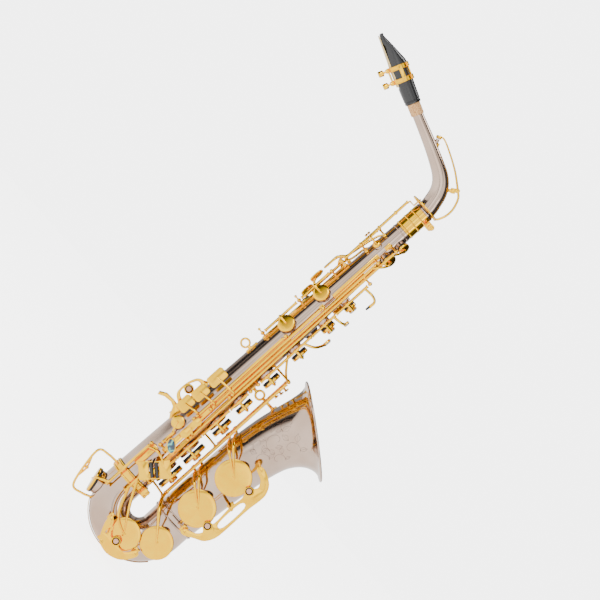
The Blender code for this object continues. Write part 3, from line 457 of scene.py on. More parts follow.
# Flat plate with eased edges, from a flat outline and holes in it
def addPlate(piece, material, outline, thickness, matrix, holes=(), edge=0.3, smooth=0):
    curve = bpy.data.curves.new("plate", "CURVE")
    curve.dimensions = "2D"
    curve.fill_mode = "BOTH"
    curve.extrude = max(thickness / 2 - edge, 0.01)
    curve.bevel_depth = edge
    curve.bevel_resolution = 1
    curve.offset = -edge
    for loop in (outline, *holes):
        points = [Vector((*p, 0.0)) for p in loop]
        if smooth:
            points = curvePoints(points, smooth, closed=True)
        spline = curve.splines.new("POLY")
        spline.points.add(len(points) - 1)
        spline.use_cyclic_u = True
        for index, point in enumerate(points):
            spline.points[index].co = (point.x, point.y, 0.0, 1.0)
    holder = bpy.data.objects.new("plate", curve)
    bpy.context.scene.collection.objects.link(holder)
    bpy.context.view_layer.update()
    mesh = bpy.data.meshes.new_from_object(holder.evaluated_get(bpy.context.evaluated_depsgraph_get()))
    mesh.transform(matrix)
    part = bmesh.new()
    part.from_mesh(mesh)
    bmesh.ops.remove_doubles(part, verts=part.verts, dist=0.002)
    copyInto(piece, material, part)
    bpy.data.objects.remove(holder)
    bpy.data.meshes.remove(mesh)
    bpy.data.curves.remove(curve)


# Plane that faces the player's right at this y: plate x is x, plate y is height
def rightFacing(y):
    return Matrix.Translation((0, y, 0)) @ Matrix.Rotation(math.radians(90), 4, "X")


def facingMatrix(centre, facing, spin=0.0):
    facing = Vector(facing).normalized()
    side, up = axisFrame(facing)[:2]
    turn = Matrix((side, up, facing)).transposed().to_4x4()
    return Matrix.Translation(centre) @ turn @ Matrix.Rotation(math.radians(spin), 4, "Z")


def roundedBox(width, height, corner, steps=4):
    points = []
    for quarter, (sx, sy) in enumerate(((1, 1), (-1, 1), (-1, -1), (1, -1))):
        for step in range(steps + 1):
            turn = math.radians(90 * quarter + 90 * step / steps)
            points.append((sx * (width / 2 - corner) + corner * math.cos(turn),
                           sy * (height / 2 - corner) + corner * math.sin(turn)))
    return points


# Turns the collected shapes into one object that rides on its body and stands for its CAD nodes
def finishPiece(piece, name, body, nodes, hinge=None, turn=0.0, axis=(0, 0, 1), sharp=38):
    bm = piece["bm"]
    if turn:
        spin = Matrix.Translation(Vector(hinge)) @ Matrix.Rotation(math.radians(turn), 4, Vector(axis))
        bmesh.ops.transform(bm, matrix=spin @ Matrix.Translation(-Vector(hinge)), verts=bm.verts)
    bmesh.ops.transform(bm, matrix=Matrix.Translation(axisShift) @ Matrix.Scale(mm, 4), verts=bm.verts)
    bmesh.ops.recalc_face_normals(bm, faces=bm.faces)
    mesh = bpy.data.meshes.new(name)
    bm.to_mesh(mesh)
    bm.free()
    for material in piece["finishes"]:
        mesh.materials.append(material)
    mesh.set_sharp_from_angle(angle=math.radians(sharp))
    made = bpy.data.objects.new(name, mesh)
    bpy.context.scene.collection.objects.link(made)
    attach(made, body)
    if nodes:
        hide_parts(*nodes)
    return made


# Turned post: a flared foot on the tube, a waisted stem and a ball drilled for the pivot screw
def addPost(piece, centre, footAngle=None, foot=None, ball=2.5, axis=(0, 0, 1)):
    centre = Vector(centre)
    if foot is None:
        foot = outward(footAngle) * (bodyRadius(centre.z) + 0.4) + Vector((0, 0, centre.z))
    foot = Vector(foot)
    length = (centre - foot).length
    addTurned(piece, brass, foot, centre - foot,
              [(0.0, 0.0), (0.0, 2.3), (0.6, 2.4), (1.0, 1.9), (1.8, 1.35), (length * 0.55, 1.2),
               (length - ball * 0.8, 1.5), (length, 1.5), (length, 0.0)], 18)
    addBall(piece, brass, centre, ball, axis)
    for side in (-1, 1):
        tip = centre + Vector(axis).normalized() * side * (ball - 0.15)
        addTurned(piece, brass, tip, Vector(axis) * side, [(0, 0), (0, 1.15), (0.35, 1.05), (0.35, 0)], 12)


# Hinge tube with turned collars at both ends
def addRod(piece, line, low, high, radius=1.7):
    start = around(line, low) if len(line) == 2 else Vector((line[0], line[1], low))
    length = high - low
    rows = [(0, 0), (0, radius + 0.25), (0.3, radius + 0.45), (1.6, radius + 0.45), (1.9, radius + 0.1),
            (2.3, radius), (length - 2.3, radius), (length - 1.9, radius + 0.1),
            (length - 1.6, radius + 0.45), (length - 0.3, radius + 0.45), (length, radius + 0.25),
            (length, 0)]
    addTurned(piece, brass, start, (0, 0, 1), rows, 20)


# Leather pad in a spun cup: rolled lip, shallow dome; a pearl in its holder if asked
def addCup(piece, base, direction, radius, pearl=0.0, deep=5.2):
    direction = Vector(direction).normalized()
    addTurned(piece, leatherAndShade, base, direction,
              [(0, 0), (0, radius - 1.4), (0.2, radius - 0.7), (0.8, radius - 0.2),
               (deep * 0.45, radius - 0.1), (deep * 0.56, radius - 0.5), (deep * 0.56, 0)], 44)
    addTurned(piece, brass, base, direction,
              [(deep * 0.5, 0), (deep * 0.5, radius - 0.45), (deep * 0.5, radius),
               (deep * 0.56, radius + 0.1), (deep * 0.8, radius), (deep * 0.92, radius - 0.4),
               (deep * 0.98, radius - 1.2), (deep + 0.05, radius * 0.72), (deep + 0.2, radius * 0.35),
               (deep + 0.25, 0)], 48)
    top = Vector(base) + direction * (deep + 0.1)
    if pearl:
        addPearl(piece, top, direction, pearl)
    return top


# Pearl button in its turned holder
def addPearl(piece, base, direction, radius):
    addTurned(piece, brass, base, direction, [(-0.4, 0), (-0.4, radius - 0.6), (1.0, radius),
                                              (2.2, radius + 0.15), (2.4, radius - 0.1),
                                              (2.2, radius - 0.4), (1.9, radius - 0.5), (1.9, 0)], 32)
    addTurned(piece, pearlShell, base, direction, [(1.8, 0), (1.8, radius - 0.4), (2.6, radius - 0.2),
                                                   (3.6, radius - 0.8), (4.0, radius * 0.55), (4.0, 0)],
              32)


def addTouch(piece, centre, facing, width, height, thick=1.8, corner=3.0, spin=0.0):
    addPlate(piece, brass, roundedBox(width, height, corner), thick, facingMatrix(centre, facing, spin),
             edge=0.5)


# Slotted screw head; the slot is a thin dark block on the head, painted shade in place of a cut slot
def addScrew(piece, centre, along, radius=2.0, thick=1.2):
    side, up, direction = axisFrame(along)
    addTurned(piece, brass, centre, direction,
              [(0, 0), (0, radius), (thick * 0.6, radius), (thick, radius * 0.75), (thick, 0)], 20)
    turn = Matrix((side, up, direction)).transposed().to_4x4()
    addBlock(piece, leatherAndShade, Vector(centre) + direction * thick, (radius * 1.6, radius * 0.22, 0.25),
             turn, 0.03)


# Knurled thumb screw head with a turned shoulder
def addKnob(piece, centre, along, radius, length, ribsAround=22):
    side, up, direction = axisFrame(along)
    loops = []
    rows = [(0, 0.55), (0.15, 0.9), (0.5, 1.0), (length - 0.5, 1.0), (length - 0.15, 0.9), (length, 0.55)]
    for distance, share in rows:
        loop = []
        for step in range(ribsAround * 2):
            turn = math.pi * step / ribsAround
            reach = radius * share * (1.0 if step % 2 or share < 0.95 else 0.92)
            loop.append(piece["bm"].verts.new(Vector(centre) + direction * distance
                                              + (side * math.cos(turn) + up * math.sin(turn)) * reach))
        loops.append(loop)
    skin(piece, brass, loops)


def roundLoops(piece, rows, sides):
    loops = []
    for x, z, tilt, radius in rows:
        lean = math.radians(tilt)
        across = Vector((math.cos(lean), 0, -math.sin(lean)))
        loop = []
        for corner in range(sides):
            turn = 2 * math.pi * corner / sides
            offset = across * math.cos(turn) + Vector((0, 1, 0)) * math.sin(turn)
            loop.append(piece["bm"].verts.new(Vector((x, 0, z)) + offset * radius))
        loops.append(loop)
    return loops


# Splines every column of the rows
def smoothRows(rows, steps):
    return [tuple(row) for row in curvePoints([Vector(row) for row in rows], steps)]


# Closed tube wall: up the outside and back down the inside
def addShell(piece, material, outer, inner, sides):
    skin(piece, material, roundLoops(piece, list(outer) + list(inner)[::-1], sides), closed=True)


# Cuts round holes: (start, direction, length, radius)
def drill(piece, holes, sides=56):
    tool = startPiece()
    for start, direction, length, radius in holes:
        addTurned(tool, brass, start, direction, [(0, 0), (0, radius), (length, radius), (length, 0)],
                  sides)
    things = []
    for source in (piece, tool):
        bmesh.ops.recalc_face_normals(source["bm"], faces=source["bm"].faces)
        mesh = bpy.data.meshes.new("drilling")
        source["bm"].to_mesh(mesh)
        thing = bpy.data.objects.new("drilling", mesh)
        bpy.context.scene.collection.objects.link(thing)
        things.append(thing)
    tube, bits = things
    cut = tube.modifiers.new("drill", "BOOLEAN")
    cut.operation = "DIFFERENCE"
    cut.solver = "EXACT"
    cut.object = bits
    bpy.context.view_layer.update()
    result = bpy.data.meshes.new_from_object(tube.evaluated_get(bpy.context.evaluated_depsgraph_get()))
    piece["bm"].clear()
    piece["bm"].from_mesh(result)
    tool["bm"].free()
    for face in piece["bm"].faces:
        face.material_index = 0
        face.smooth = True
    for thing in things:
        bpy.data.objects.remove(thing)
    bpy.data.meshes.remove(result)


# Drawn tone hole wall with its rim rolled over
def addChimney(piece, centre, direction, low, high, bore):
    wall = horn["wall"]
    addTurned(piece, nickel, Vector(centre), direction,
              [(low, bore), (high - 0.35, bore), (high - 0.05, bore + 0.25), (high, bore + 0.6),
               (high - 0.2, bore + wall), (high - 0.6, bore + wall + 0.05), (high - 0.9, bore + wall - 0.1),
               (low, bore + wall - 0.1)], 56, closed=True)


# Tone holes of the body: angle from the front, height, bore radius
bodyTube = {
    "sides": 112,
    "holes": [(0, 77, 15.0), (0, 115, 13.5), (0, 160, 11.5), (0, 196, 9.5), (0, 240, 9.5), (0, 285, 8.5),
              (0, 331, 7.0), (0, 366, 5.5), (125, 298, 8.5), (125, 352, 8.0), (45, 436, 6.0),
              (40, 458, 5.0), (118, 128, 6.0), (-48, 312, 8.0), (-92, 412, 6.3), (-92, 434, 6.3),
              (-92, 455, 6.3)],
    "beads": (468.0,),
}


def makeBodyTube():
    piece = startPiece()
    levels = [horn["bottom"], 150.0, 250.0, 360.0, horn["top"]]
    outer = [(0, z, 0, bodyRadius(z)) for z in levels]
    inner = [(0, z, 0, bodyRadius(z) - horn["wall"]) for z in levels]
    finishIndex(piece, nickel)
    addShell(piece, nickel, outer, inner, bodyTube["sides"])
    drill(piece, [(outward(angle) * bodyRadius(z) * 0.55 + Vector((0, 0, z)), outward(angle), 30.0, bore)
                  for angle, z, bore in bodyTube["holes"]])
    for angle, z, bore in bodyTube["holes"]:
        reach = bodyRadius(z)
        start = reach * (0.66 if bore > 9 else 0.86)
        addChimney(piece, (0, 0, z), outward(angle), start, reach + horn["chimneyRise"], bore)
    for z in bodyTube["beads"]:
        addRing(piece, nickel, (0, 0, z), (0, 0, 1), bodyRadius(z), 0.8, 72)
    return finishPiece(piece, "bodyTube", "body", ["body_tube"])


# Tone holes of the bow: start on the centreline, direction, bore radius, rim distance
bow = {
    "sides": 96, "lowRadius": 23.0, "highRadius": 27.0,
    "holes": [((76, 0, 16), (0, -1, 0), 15.5, 29.5), ((41, 0, -5), (0, -1, 0), 15.5, 28.5),
              ((2.2, 0, 16.5), (-0.966, 0, -0.259), 13.5, 25.8)],
}


def bowRows(extra):
    rows = [(0, 47.6, 0, 22.9 + extra)]
    for step in range(41):
        turn = math.pi * step / 40
        rows.append((horn["bowRadius"] * (1 - math.cos(turn)), horn["bowHeight"]
                     - horn["bowRadius"] * math.sin(turn), -math.degrees(turn), bow["lowRadius"]
                     + (bow["highRadius"] - bow["lowRadius"]) * step / 40 + extra))
    rows.append((72.0, 44.4, -180, 27.1 + extra))
    return rows


def makeBow():
    piece = startPiece()
    addShell(piece, nickel, bowRows(0), bowRows(-horn["wall"]), bow["sides"])
    drill(piece, [(Vector(start) + Vector(along) * 12, along, 30.0, bore) for start, along, bore,
                  reach in bow["holes"]])
    for start, along, bore, reach in bow["holes"]:
        addChimney(piece, start, along, 15.0, reach, bore)
    return finishPiece(piece, "bow", "body", ["bow"])


# The bell's profile: x and height of each ring's centre, its forward tilt and its radius
bell = {
    "sides": 128,
    "rows": [(72.0, 45.2, 0.0, 27.1), (73.6, 80.0, 0.8, 28.3), (75.2, 115.0, 1.5, 29.9),
             (77.2, 150.0, 4.0, 31.6), (80.0, 172.0, 9.0, 32.6), (83.6, 191.0, 14.0, 34.2),
             (89.0, 207.5, 22.0, 37.0), (95.0, 220.5, 28.0, 41.2), (100.6, 229.8, 32.0, 47.0),
             (103.8, 234.2, 33.8, 53.0), (104.6, 235.0, 34.2, 58.6)],
    "holes": [((82, 0, 133), (0, -1, 0), 17.5, 34.0), ((79, 0, 78), (0, -1, 0), 18.0, 32.0)],
    "scrolls": [  # height along the bell, degrees round from the player's right, size, turn, leaves
        (170, 8, 11.0, 1, 3), (196, -10, 13.0, -1, 4), (188, 26, 10.0, 1, 3), (208, 14, 11.0, 1, 4),
        (214, -30, 9.0, -1, 3), (178, -22, 8.0, -1, 2)],
}
bellCurve = smoothRows(bell["rows"], 8)


# Point on the bell's outside at a ring height, degrees round from the player's right
def onBell(z, angle, lift=0.0):
    for low, high in zip(bellCurve, bellCurve[1:]):
        if low[1] <= z <= high[1]:
            share = (z - low[1]) / (high[1] - low[1])
            x, level, tilt, radius = (a + (b - a) * share for a, b in zip(low, high))
            break
    else:
        x, level, tilt, radius = bellCurve[-1]
    lean, turn = math.radians(tilt), math.radians(angle)
    across = Vector((math.cos(lean), 0, -math.sin(lean)))
    return Vector((x, 0, level)) + (across * math.sin(turn)
                                    - Vector((0, 1, 0)) * math.cos(turn)) * (radius + lift)


def makeBell():
    piece = startPiece()
    facing = Vector((math.sin(math.radians(horn["rimTilt"])), 0, math.cos(math.radians(horn["rimTilt"]))))
    rim = Vector((horn["rimX"], 0, horn["rimZ"])) - facing * 1.0
    roll = []
    for step in range(13):  # rolled rim, a bead of 1.4 mm radius
        turn = math.radians(-60 + 22.5 * step)
        centre = rim + facing * 1.3 * math.sin(turn)
        roll.append((centre.x, centre.z, horn["rimTilt"], horn["rimRadius"] - 1.4 + 1.4 * math.cos(turn)))
    outer = bellCurve[:-6] + roll
    inner = [(x, z, tilt, radius - horn["wall"]) for x, z, tilt, radius in bellCurve[:-6]]
    addShell(piece, nickel, outer, inner, bell["sides"])
    drill(piece, [(Vector(start) + Vector(along) * 10, along, 30.0, bore) for start, along, bore,
                  reach in bell["holes"]])
    for start, along, bore, reach in bell["holes"]:
        addChimney(piece, start, along, 19.0, reach, bore)
    addEngraving(piece)
    return finishPiece(piece, "bell", "body", ["bell"])


# Cut scrolls and leaves, as fine lines of painted shade lying on the metal
def addEngraving(piece):
    for z, angle, size, hand, leaves in bell["scrolls"]:
        stem = []
        for step in range(26):
            t = step / 25
            turn = hand * (1.0 + 4.6 * t)
            reach = size * (1 - 0.82 * t)
            across, rise = reach * math.cos(turn), reach * math.sin(turn)
            stem.append(onBell(z + rise, angle + across / 0.62, 0.02))
        addTube(piece, cutLineShade, stem, 0.16, sides=5, steps=2, rounded=False)
        for leaf in range(leaves):
            turn = hand * (1.2 + 0.95 * leaf)
            root = (size * 0.9 * math.cos(turn), size * 0.9 * math.sin(turn))
            tip = (size * 1.75 * math.cos(turn + hand * 0.25), size * 1.6 * math.sin(turn + hand * 0.25))
            for bend in (-1, 1):
                middle = ((root[0] + tip[0]) / 2 - (tip[1] - root[1]) * 0.28 * bend,
                          (root[1] + tip[1]) / 2 + (tip[0] - root[0]) * 0.28 * bend)
                line = [onBell(z + p[1], angle + p[0] / 0.62, 0.02) for p in (root, middle, tip)]
                addTube(piece, cutLineShade, line, 0.13, sides=5, steps=5, rounded=False)
            vein = [onBell(z + root[1] + (tip[1] - root[1]) * s, angle
                           + (root[0] + (tip[0] - root[0]) * s) / 0.62, 0.02) for s in (0.1, 0.45, 0.8)]
            addTube(piece, cutLineShade, vein, 0.1, sides=5, steps=3, rounded=False)


# Turned sleeve with eased edges and raised beads
def addBand(piece, material, x, low, high, inside, outside, beads=(), sides=88):
    rows = [(0, outside - 0.4), (0.3, outside)]
    for bead in sorted(beads):
        rows += [(bead - low - 0.9, outside), (bead - low - 0.5, outside + 0.55),
                 (bead - low, outside + 0.75), (bead - low + 0.5, outside + 0.55),
                 (bead - low + 0.9, outside)]
    rows += [(high - low - 0.3, outside), (high - low, outside - 0.4), (high - low, inside), (0, inside)]
    addTurned(piece, material, (x, 0, low), (0, 0, 1), rows, sides, closed=True)


def makeBowFittings():
    piece = startPiece()
    addBand(piece, brass, 0, 37.0, 48.2, 23.3, 24.9, (39.0, 46.2))
    addBlock(piece, brass, (24, -13, 42.6), (8.5, 6, 10.5), edge=0.8)
    for z in (39.6, 45.4):
        addTurned(piece, brass, (26.5, -11.5, z), (0, -1, 0),
                  [(0, 0), (0, 1.2), (3.4, 1.2), (3.4, 1.9), (6.2, 1.9), (6.8, 1.5), (6.8, 0)], 20)
        # A thin dark block on each screw end is the painted shade of its slot
        addBlock(piece, leatherAndShade, (26.5, -18.3, z), (3.0, 0.25, 0.45), edge=0.03)
    finishPiece(piece, "bodyBowClamp", "body", ["body_bow_clamp"])
    piece = startPiece()
    addBand(piece, nickel, 72, 42.5, 53.0, 27.2, 28.4, (44.6, 51.0))
    finishPiece(piece, "bowBellFerrule", "body", ["bow_bell_ring"])
    piece = startPiece()
    arc = []
    for step in range(12):
        share = step / 11
        turn = math.radians(214 + 112 * share)
        reach = horn["bowRadius"] + 24.9 + 2.4 * share
        x, z = horn["bowRadius"] + math.cos(turn) * reach, horn["bowHeight"] + math.sin(turn) * reach
        arc.append((x, 0, z))
    addTube(piece, brass, arc, 0.6, sides=16, steps=4, flat=5.6, up=(0, 1, 0))
    finishPiece(piece, "bowGuard", "body", ["bow_guard"])


def makeBrace():
    piece = startPiece()
    y, z = 10.0, 218.0
    addBlock(piece, brass, (18.0, y, z), (6.0, 8, 11), edge=1.0)
    addBlock(piece, brass, (57.0, y, z), (5.5, 8, 11), edge=1.0)
    addTurned(piece, brass, (20, y, z), (1, 0, 0),
              [(0, 0), (0, 3.2), (1.2, 3.0), (2.4, 2.1), (5.5, 1.9), (7.5, 2.2), (7.5, 0)], 24)
    addTurned(piece, brass, (36.5, y, z), (1, 0, 0),
              [(0, 0), (0, 2.2), (2, 1.9), (16, 2.0), (17.5, 3.0), (19, 3.3), (19, 0)], 24)
    addRing(piece, brass, (32, y, z), (0, 1, 0), 5.3, 1.5, 48, 14)
    finishPiece(piece, "bellBrace", "body", ["bell_brace"])


makeBodyTube()
makeBow()
makeBell()
makeBowFittings()
makeBrace()
print("tubes ready")


# Neck: x and height of each ring's centre, forward tilt, radius
neck = {
    "rows": [(0, 503.6, 0, 11.6), (-0.8, 513, -6, 11.3), (-2.6, 521, -12, 11.0), (-5.6, 531, -22, 10.7),
             (-11.0, 540, -36, 10.3), (-20.0, 547.6, -54, 9.5), (-34, 554.4, -64, 8.5),
             (-57, 563.4, -69, 7.5), (-90, 574.9, -70, 6.6)],
    "sides": 64,
}


def alongNeck(distance):
    lean = math.radians(horn["neckTilt"])
    return Vector(horn["corkStart"]) + Vector((-math.cos(lean), 0, math.sin(lean))) * distance


def mouthPoint(u, v, y=0.0):
    lean = math.radians(horn["neckTilt"])
    return alongNeck(u) + Vector((math.sin(lean), 0, math.cos(lean))) * v + Vector((0, y, 0))


neckAxis = alongNeck(1) - alongNeck(0)
neckUp = mouthPoint(0, 1) - mouthPoint(0, 0)
alongTurn = Matrix((neckAxis, neckUp.cross(neckAxis), neckUp)).transposed().to_4x4()


def makeNeck():
    piece = startPiece()
    end = alongNeck(22)
    rows = smoothRows(neck["rows"] + [(end.x, end.z, -70, 6.3)], 6)
    inner = [(x, z, tilt, radius - 1.0) for x, z, tilt, radius in rows]
    start = [(0, 476.0, 0, 10.0), (0, 476.5, 0, 10.6), (0, 503.2, 0, 10.6), (0, 503.2, 0, 12.1),
             (0, 503.6, 0, 12.55), (0, 505.2, 0, 12.55), (0, 505.6, 0, 12.2), (0, 506.6, 0, 11.7)]
    addShell(piece, nickel, start + rows[2:], [(0, 476.0, 0, 9.6), (0, 503.0, 0, 9.6)] + inner[2:],
             neck["sides"])
    # raised band where the octave key crosses, its saddle, pip and guide
    addTurned(piece, brass, (-43.5, 0, 558.0), (-0.35, 0, 0.937),
              [(0, 0), (0, 3.4), (7.5, 3.0), (8.3, 2.2), (11.0, 1.3), (14.0, 1.2), (14.0, 0)], 20)
    addBlock(piece, brass, (1.6, 0, 544.2), (5.0, 8.4, 4.0), Matrix.Rotation(math.radians(-38), 4, "Y"),
             0.7)
    for side in (-1, 1):
        addTurned(piece, brass, (6.6, side * 3.8, 549.6), (0, side, 0),
                  [(0, 0), (0, 2.6), (1.4, 2.6), (1.6, 2.2), (1.6, 0)], 24)
        addBlock(piece, brass, (4.0, side * 4.6, 546.6), (4.6, 1.5, 6.6),
                 Matrix.Rotation(math.radians(-38), 4, "Y"), 0.5)
        addScrew(piece, (7.6, side * 5.4, 550.6), (0, side, 0), 1.4, 0.7)
    addTurned(piece, nickel, (-50.5, 0, 567), (-0.354, 0, 0.935),
              [(0, 0), (0, 3.6), (1.6, 2.8), (2.6, 2.4), (6.6, 2.4), (6.9, 2.1), (6.9, 0.9), (6.0, 0.8),
               (6.0, 0)], 24)
    finishPiece(piece, "neckTube", "neck", ["neck_tube"])
    piece = startPiece()
    addTurned(piece, corkSheet, alongNeck(-14), neckAxis, [(0, 6.8), (0, 7.4), (1.2, 7.9), (20, 8.0),
                                                           (34, 7.8), (35.4, 7.4), (35.7, 6.8)], 48,
              closed=True)
    finishPiece(piece, "neckCork", "neck", ["neck_cork"])


# Mouthpiece: distance from the shank end, height of the top, underside, half width
mouthpiece = {
    "rows": [(0.4, 8.9, -8.9, 8.9), (0.9, 9.5, -9.5, 9.5), (3.2, 9.7, -9.7, 9.7), (3.5, 9.2, -9.2, 9.2),
             (4.3, 9.2, -9.2, 9.2), (4.6, 9.75, -9.75, 9.75), (12, 10.0, -10.0, 10.0),
             (21, 10.2, -10.2, 10.2), (24, 10.4, -8.8, 10.4), (26, 10.5, -8.6, 10.5),
             (38, 10.8, -8.6, 10.8), (50, 11.0, -8.6, 11.0), (53, 10.5, -8.6, 11.0),
             (56, 9.3, -8.6, 10.9), (64, 6.2, -8.6, 10.2), (72, 3.1, -8.5, 9.4), (79, 0.2, -8.3, 8.5),
             (84, -2.0, -8.0, 7.8), (88, -4.0, -7.2, 7.0), (90, -5.2, -6.5, 6.6)],
    "sides": 72,
}


def makeMouthpiece():
    piece = startPiece()
    loops = []
    for u, top, bottom, halfWidth in mouthpiece["rows"]:
        loop = []
        for corner in range(mouthpiece["sides"]):
            turn = 2 * math.pi * (corner + 0.5) / mouthpiece["sides"]
            middle = bottom * 0.5 if top < 2 else 0.0
            rise = math.sin(turn)
            v = middle + (top - middle) * rise if rise > 0 else middle + halfWidth * rise
            loop.append(piece["bm"].verts.new(mouthPoint(u, max(v, bottom), halfWidth * math.cos(turn))))
        loops.append(loop)
    bore = []
    turns = [2 * math.pi * (k + 0.5) / mouthpiece["sides"] for k in range(mouthpiece["sides"])]
    for u, radius in [(0.4, 8.5), (27, 8.4), (27, 5.6), (50, 5.4), (52, 3.0)]:
        bore.append([piece["bm"].verts.new(mouthPoint(u, radius * math.sin(turn), radius * math.cos(turn)))
                     for turn in turns])
    skin(piece, ebonite, loops[::-1] + bore)
    finishPiece(piece, "mouthpiece", "mouthpiece", ["mouthpiece"], sharp=50)
    piece = startPiece()
    loops = []
    for u, thick, halfWidth in [(24.6, 2.1, 6.0), (25.2, 2.4, 6.2), (40, 2.45, 6.35), (51, 2.4, 6.45),
                                (53, 2.1, 6.5), (62, 1.7, 6.55), (72, 1.2, 6.6), (80, 0.75, 6.6),
                                (85, 0.5, 6.5), (87.5, 0.35, 5.6), (88.6, 0.3, 3.8)]:
        top = -8.9
        loop = [piece["bm"].verts.new(mouthPoint(u, top, y)) for y in (-halfWidth, halfWidth)]
        for step in range(9):
            turn = math.radians(20 * step + 10)
            loop.append(piece["bm"].verts.new(mouthPoint(u, top - thick * math.sin(turn) ** 0.6,
                                                         halfWidth * math.cos(turn))))
        loops.append(loop)
    skin(piece, cane, loops)
    finishPiece(piece, "reed", "mouthpiece", ["reed"])


ligature = {"bands": (28.0, 43.5), "outside": 13.1, "inside": 12.3, "screws": (30.8, 46.2)}


def makeLigature():
    piece = startPiece()
    outside, inside = ligature["outside"], ligature["inside"]
    for u in ligature["bands"]:
        addTurned(piece, brass, mouthPoint(u, -0.6), neckAxis,
                  [(0, inside), (0, outside - 0.2), (0.25, outside + 0.1), (0.9, outside + 0.1),
                   (1.15, outside - 0.15), (4.35, outside - 0.15), (4.6, outside + 0.1),
                   (5.25, outside + 0.1), (5.5, outside - 0.2), (5.5, inside)],
                  72, closed=True)
    addBlock(piece, brass, mouthPoint(38.5, -13.4), (21, 9, 1.6), alongTurn, 0.6)
    for side in (-1, 1):
        addBlock(piece, brass, mouthPoint(38.5, 0, side * 12.6), (20.5, 0.9, 4.6), alongTurn, 0.3)
        addBlock(piece, brass, mouthPoint(38.5, 8.6 * 1.04, side * 9.1), (20.5, 0.9, 3.0),
                 alongTurn @ Matrix.Rotation(math.radians(side * 44), 4, "X"), 0.3)
    for u in ligature["screws"]:
        addTurned(piece, brass, mouthPoint(u, -13.4), -neckUp,
                  [(0, 0), (0, 3.4), (0.8, 3.2), (1.4, 2.6), (2.9, 2.6), (3.1, 2.3), (3.1, 0)], 28)
    finishPiece(piece, "ligature", "mouthpiece", ["ligature"])
    for index, u in enumerate(ligature["screws"]):
        piece = startPiece()
        addTurned(piece, brass, mouthPoint(u, -16.9), -neckUp,
                  [(0, 0), (0, 1.3), (2.0, 1.3), (2.2, 2.2), (2.7, 2.2), (2.7, 0)], 24)
        addKnob(piece, mouthPoint(u, -19.5), -neckUp, 3.6, 6.4)
        number = str(index + 1)
        finishPiece(piece, "ligatureScrew" + number, "ligature_screw_" + number,
                    ["ligature_screw_" + number])


def makeReceiver():
    piece = startPiece()
    addBand(piece, brass, 0, 472.0, 503.2, 10.95, 12.5, (485.0, 495.0, 474.4))
    for side in (-1, 1):
        addBlock(piece, brass, (16.0, side * 2.4, 498), (8.8, 3.0, 8.4), edge=0.7)
    addTurned(piece, brass, (17.5, 3.8, 498), (0, 1, 0),
              [(0, 0), (0, 2.6), (1.2, 2.6), (1.6, 2.1), (1.6, 0)], 24)
    finishPiece(piece, "neckReceiver", "body", ["neck_receiver"])
    piece = startPiece()
    addTurned(piece, brass, (17.5, -4.2, 498), (0, -1, 0),
              [(0, 0), (0, 1.5), (3.2, 1.5), (3.4, 2.4), (4.2, 2.4), (4.2, 0)], 20)
    addKnob(piece, (17.5, -8.2, 498), (0, -1, 0), 3.8, 8.2)
    addTurned(piece, brass, (17.5, -16.2, 498), (0, -1, 0), [(0, 0), (0, 2.6), (0.3, 2.2), (0.3, 0)], 24)
    finishPiece(piece, "receiverScrew", "receiver_screw", ["receiver_screw"])


# Hinge rod lines: degrees round from the front to the player's right, distance from the axis
rodLines = {
    "stack": (48.0, 26.8), "highFs": (69.0, 27.2), "sideE": (78.5, 27.2), "sideC": (88.0, 27.2),
    "sideBb": (97.5, 27.2), "sideCup": (157.0, 24.5), "altFs": (106.0, 28.0), "octave": (172.0, 22.5),
    "gSharp": (-84.0, 23.5), "palmD": (-62.0, 22.5), "palmEb": (-126.0, 23.0), "palmF": (-144.0, 23.5),
}
# Ribs soldered to the body: CAD node, angle, lowest and highest point, width, posts as (rod line, height)
bodyRibs = [
    ("stack_rib", 61, 52, 404, 5.4, [("stack", z) for z in (56, 214, 226, 401)]),
    ("side_rib", 86, 92, 292, 7.0, [("altFs", 95.5), ("highFs", 122.5), ("sideE", 191.5), ("sideC", 166.5),
                                    ("sideBb", 144.5), ("sideBb", 287.5)]),
    ("side_rib_top", 86, 338, 450, 6.0, [("sideC", 342.0), ("sideE", 424.0), ("highFs", 448.5)]),
    ("back_rib", 160, 266, 398, 6.0, [("sideCup", 270), ("sideCup", 327), ("sideCup", 378),
                                      ("octave", 394.5)]), ("palm_rib", -100, 342, 403, 7.0,
                                                            [(line, z) for line in ("palmD", "palmEb",
                                                                                    "palmF")
                                                             for z in (346.5, 401)]),]


def pieceName(node):
    words = node.split("_")
    return words[0] + "".join(word.capitalize() for word in words[1:])


# Bowed strip lying along the body, its ends and holes kept clear of the tone hole walls
def addStrip(piece, angle, low, high, width):
    stretches = [(low, high)]
    for holeAngle, z, bore in bodyTube["holes"]:
        apart = math.radians(abs((holeAngle - angle + 180) % 360 - 180))
        if apart > math.radians(75):
            continue
        aside = bodyRadius(z) * math.sin(apart) - width / 2
        reach = bore + horn["wall"] + 0.8
        if aside < reach:
            half = math.sqrt(reach ** 2 - max(aside, 0) ** 2)
            stretches = [part for a, b in stretches
                         for part in ((a, min(b, z - half)), (max(a, z + half), b)) if part[1]
                         - part[0] > 4]
    for a, b in stretches:
        rows = []
        for level, share in ((a, 0.75), (a + 0.8, 1.0), (b - 0.8, 1.0), (b, 0.75)):
            centre = outward(angle) * (bodyRadius(level) - 0.3) + Vector((0, 0, level))
            side = Vector((0, 0, 1)).cross(outward(angle)).normalized() * width / 2 * share
            rise = outward(angle)
            corners = [centre - side, centre - side + rise * 1.9, centre - side * 0.86 + rise * 2.2,
                       centre + side * 0.86 + rise * 2.2, centre + side + rise * 1.9, centre + side]
            rows.append([piece["bm"].verts.new(corner) for corner in corners])
        skin(piece, brass, rows)


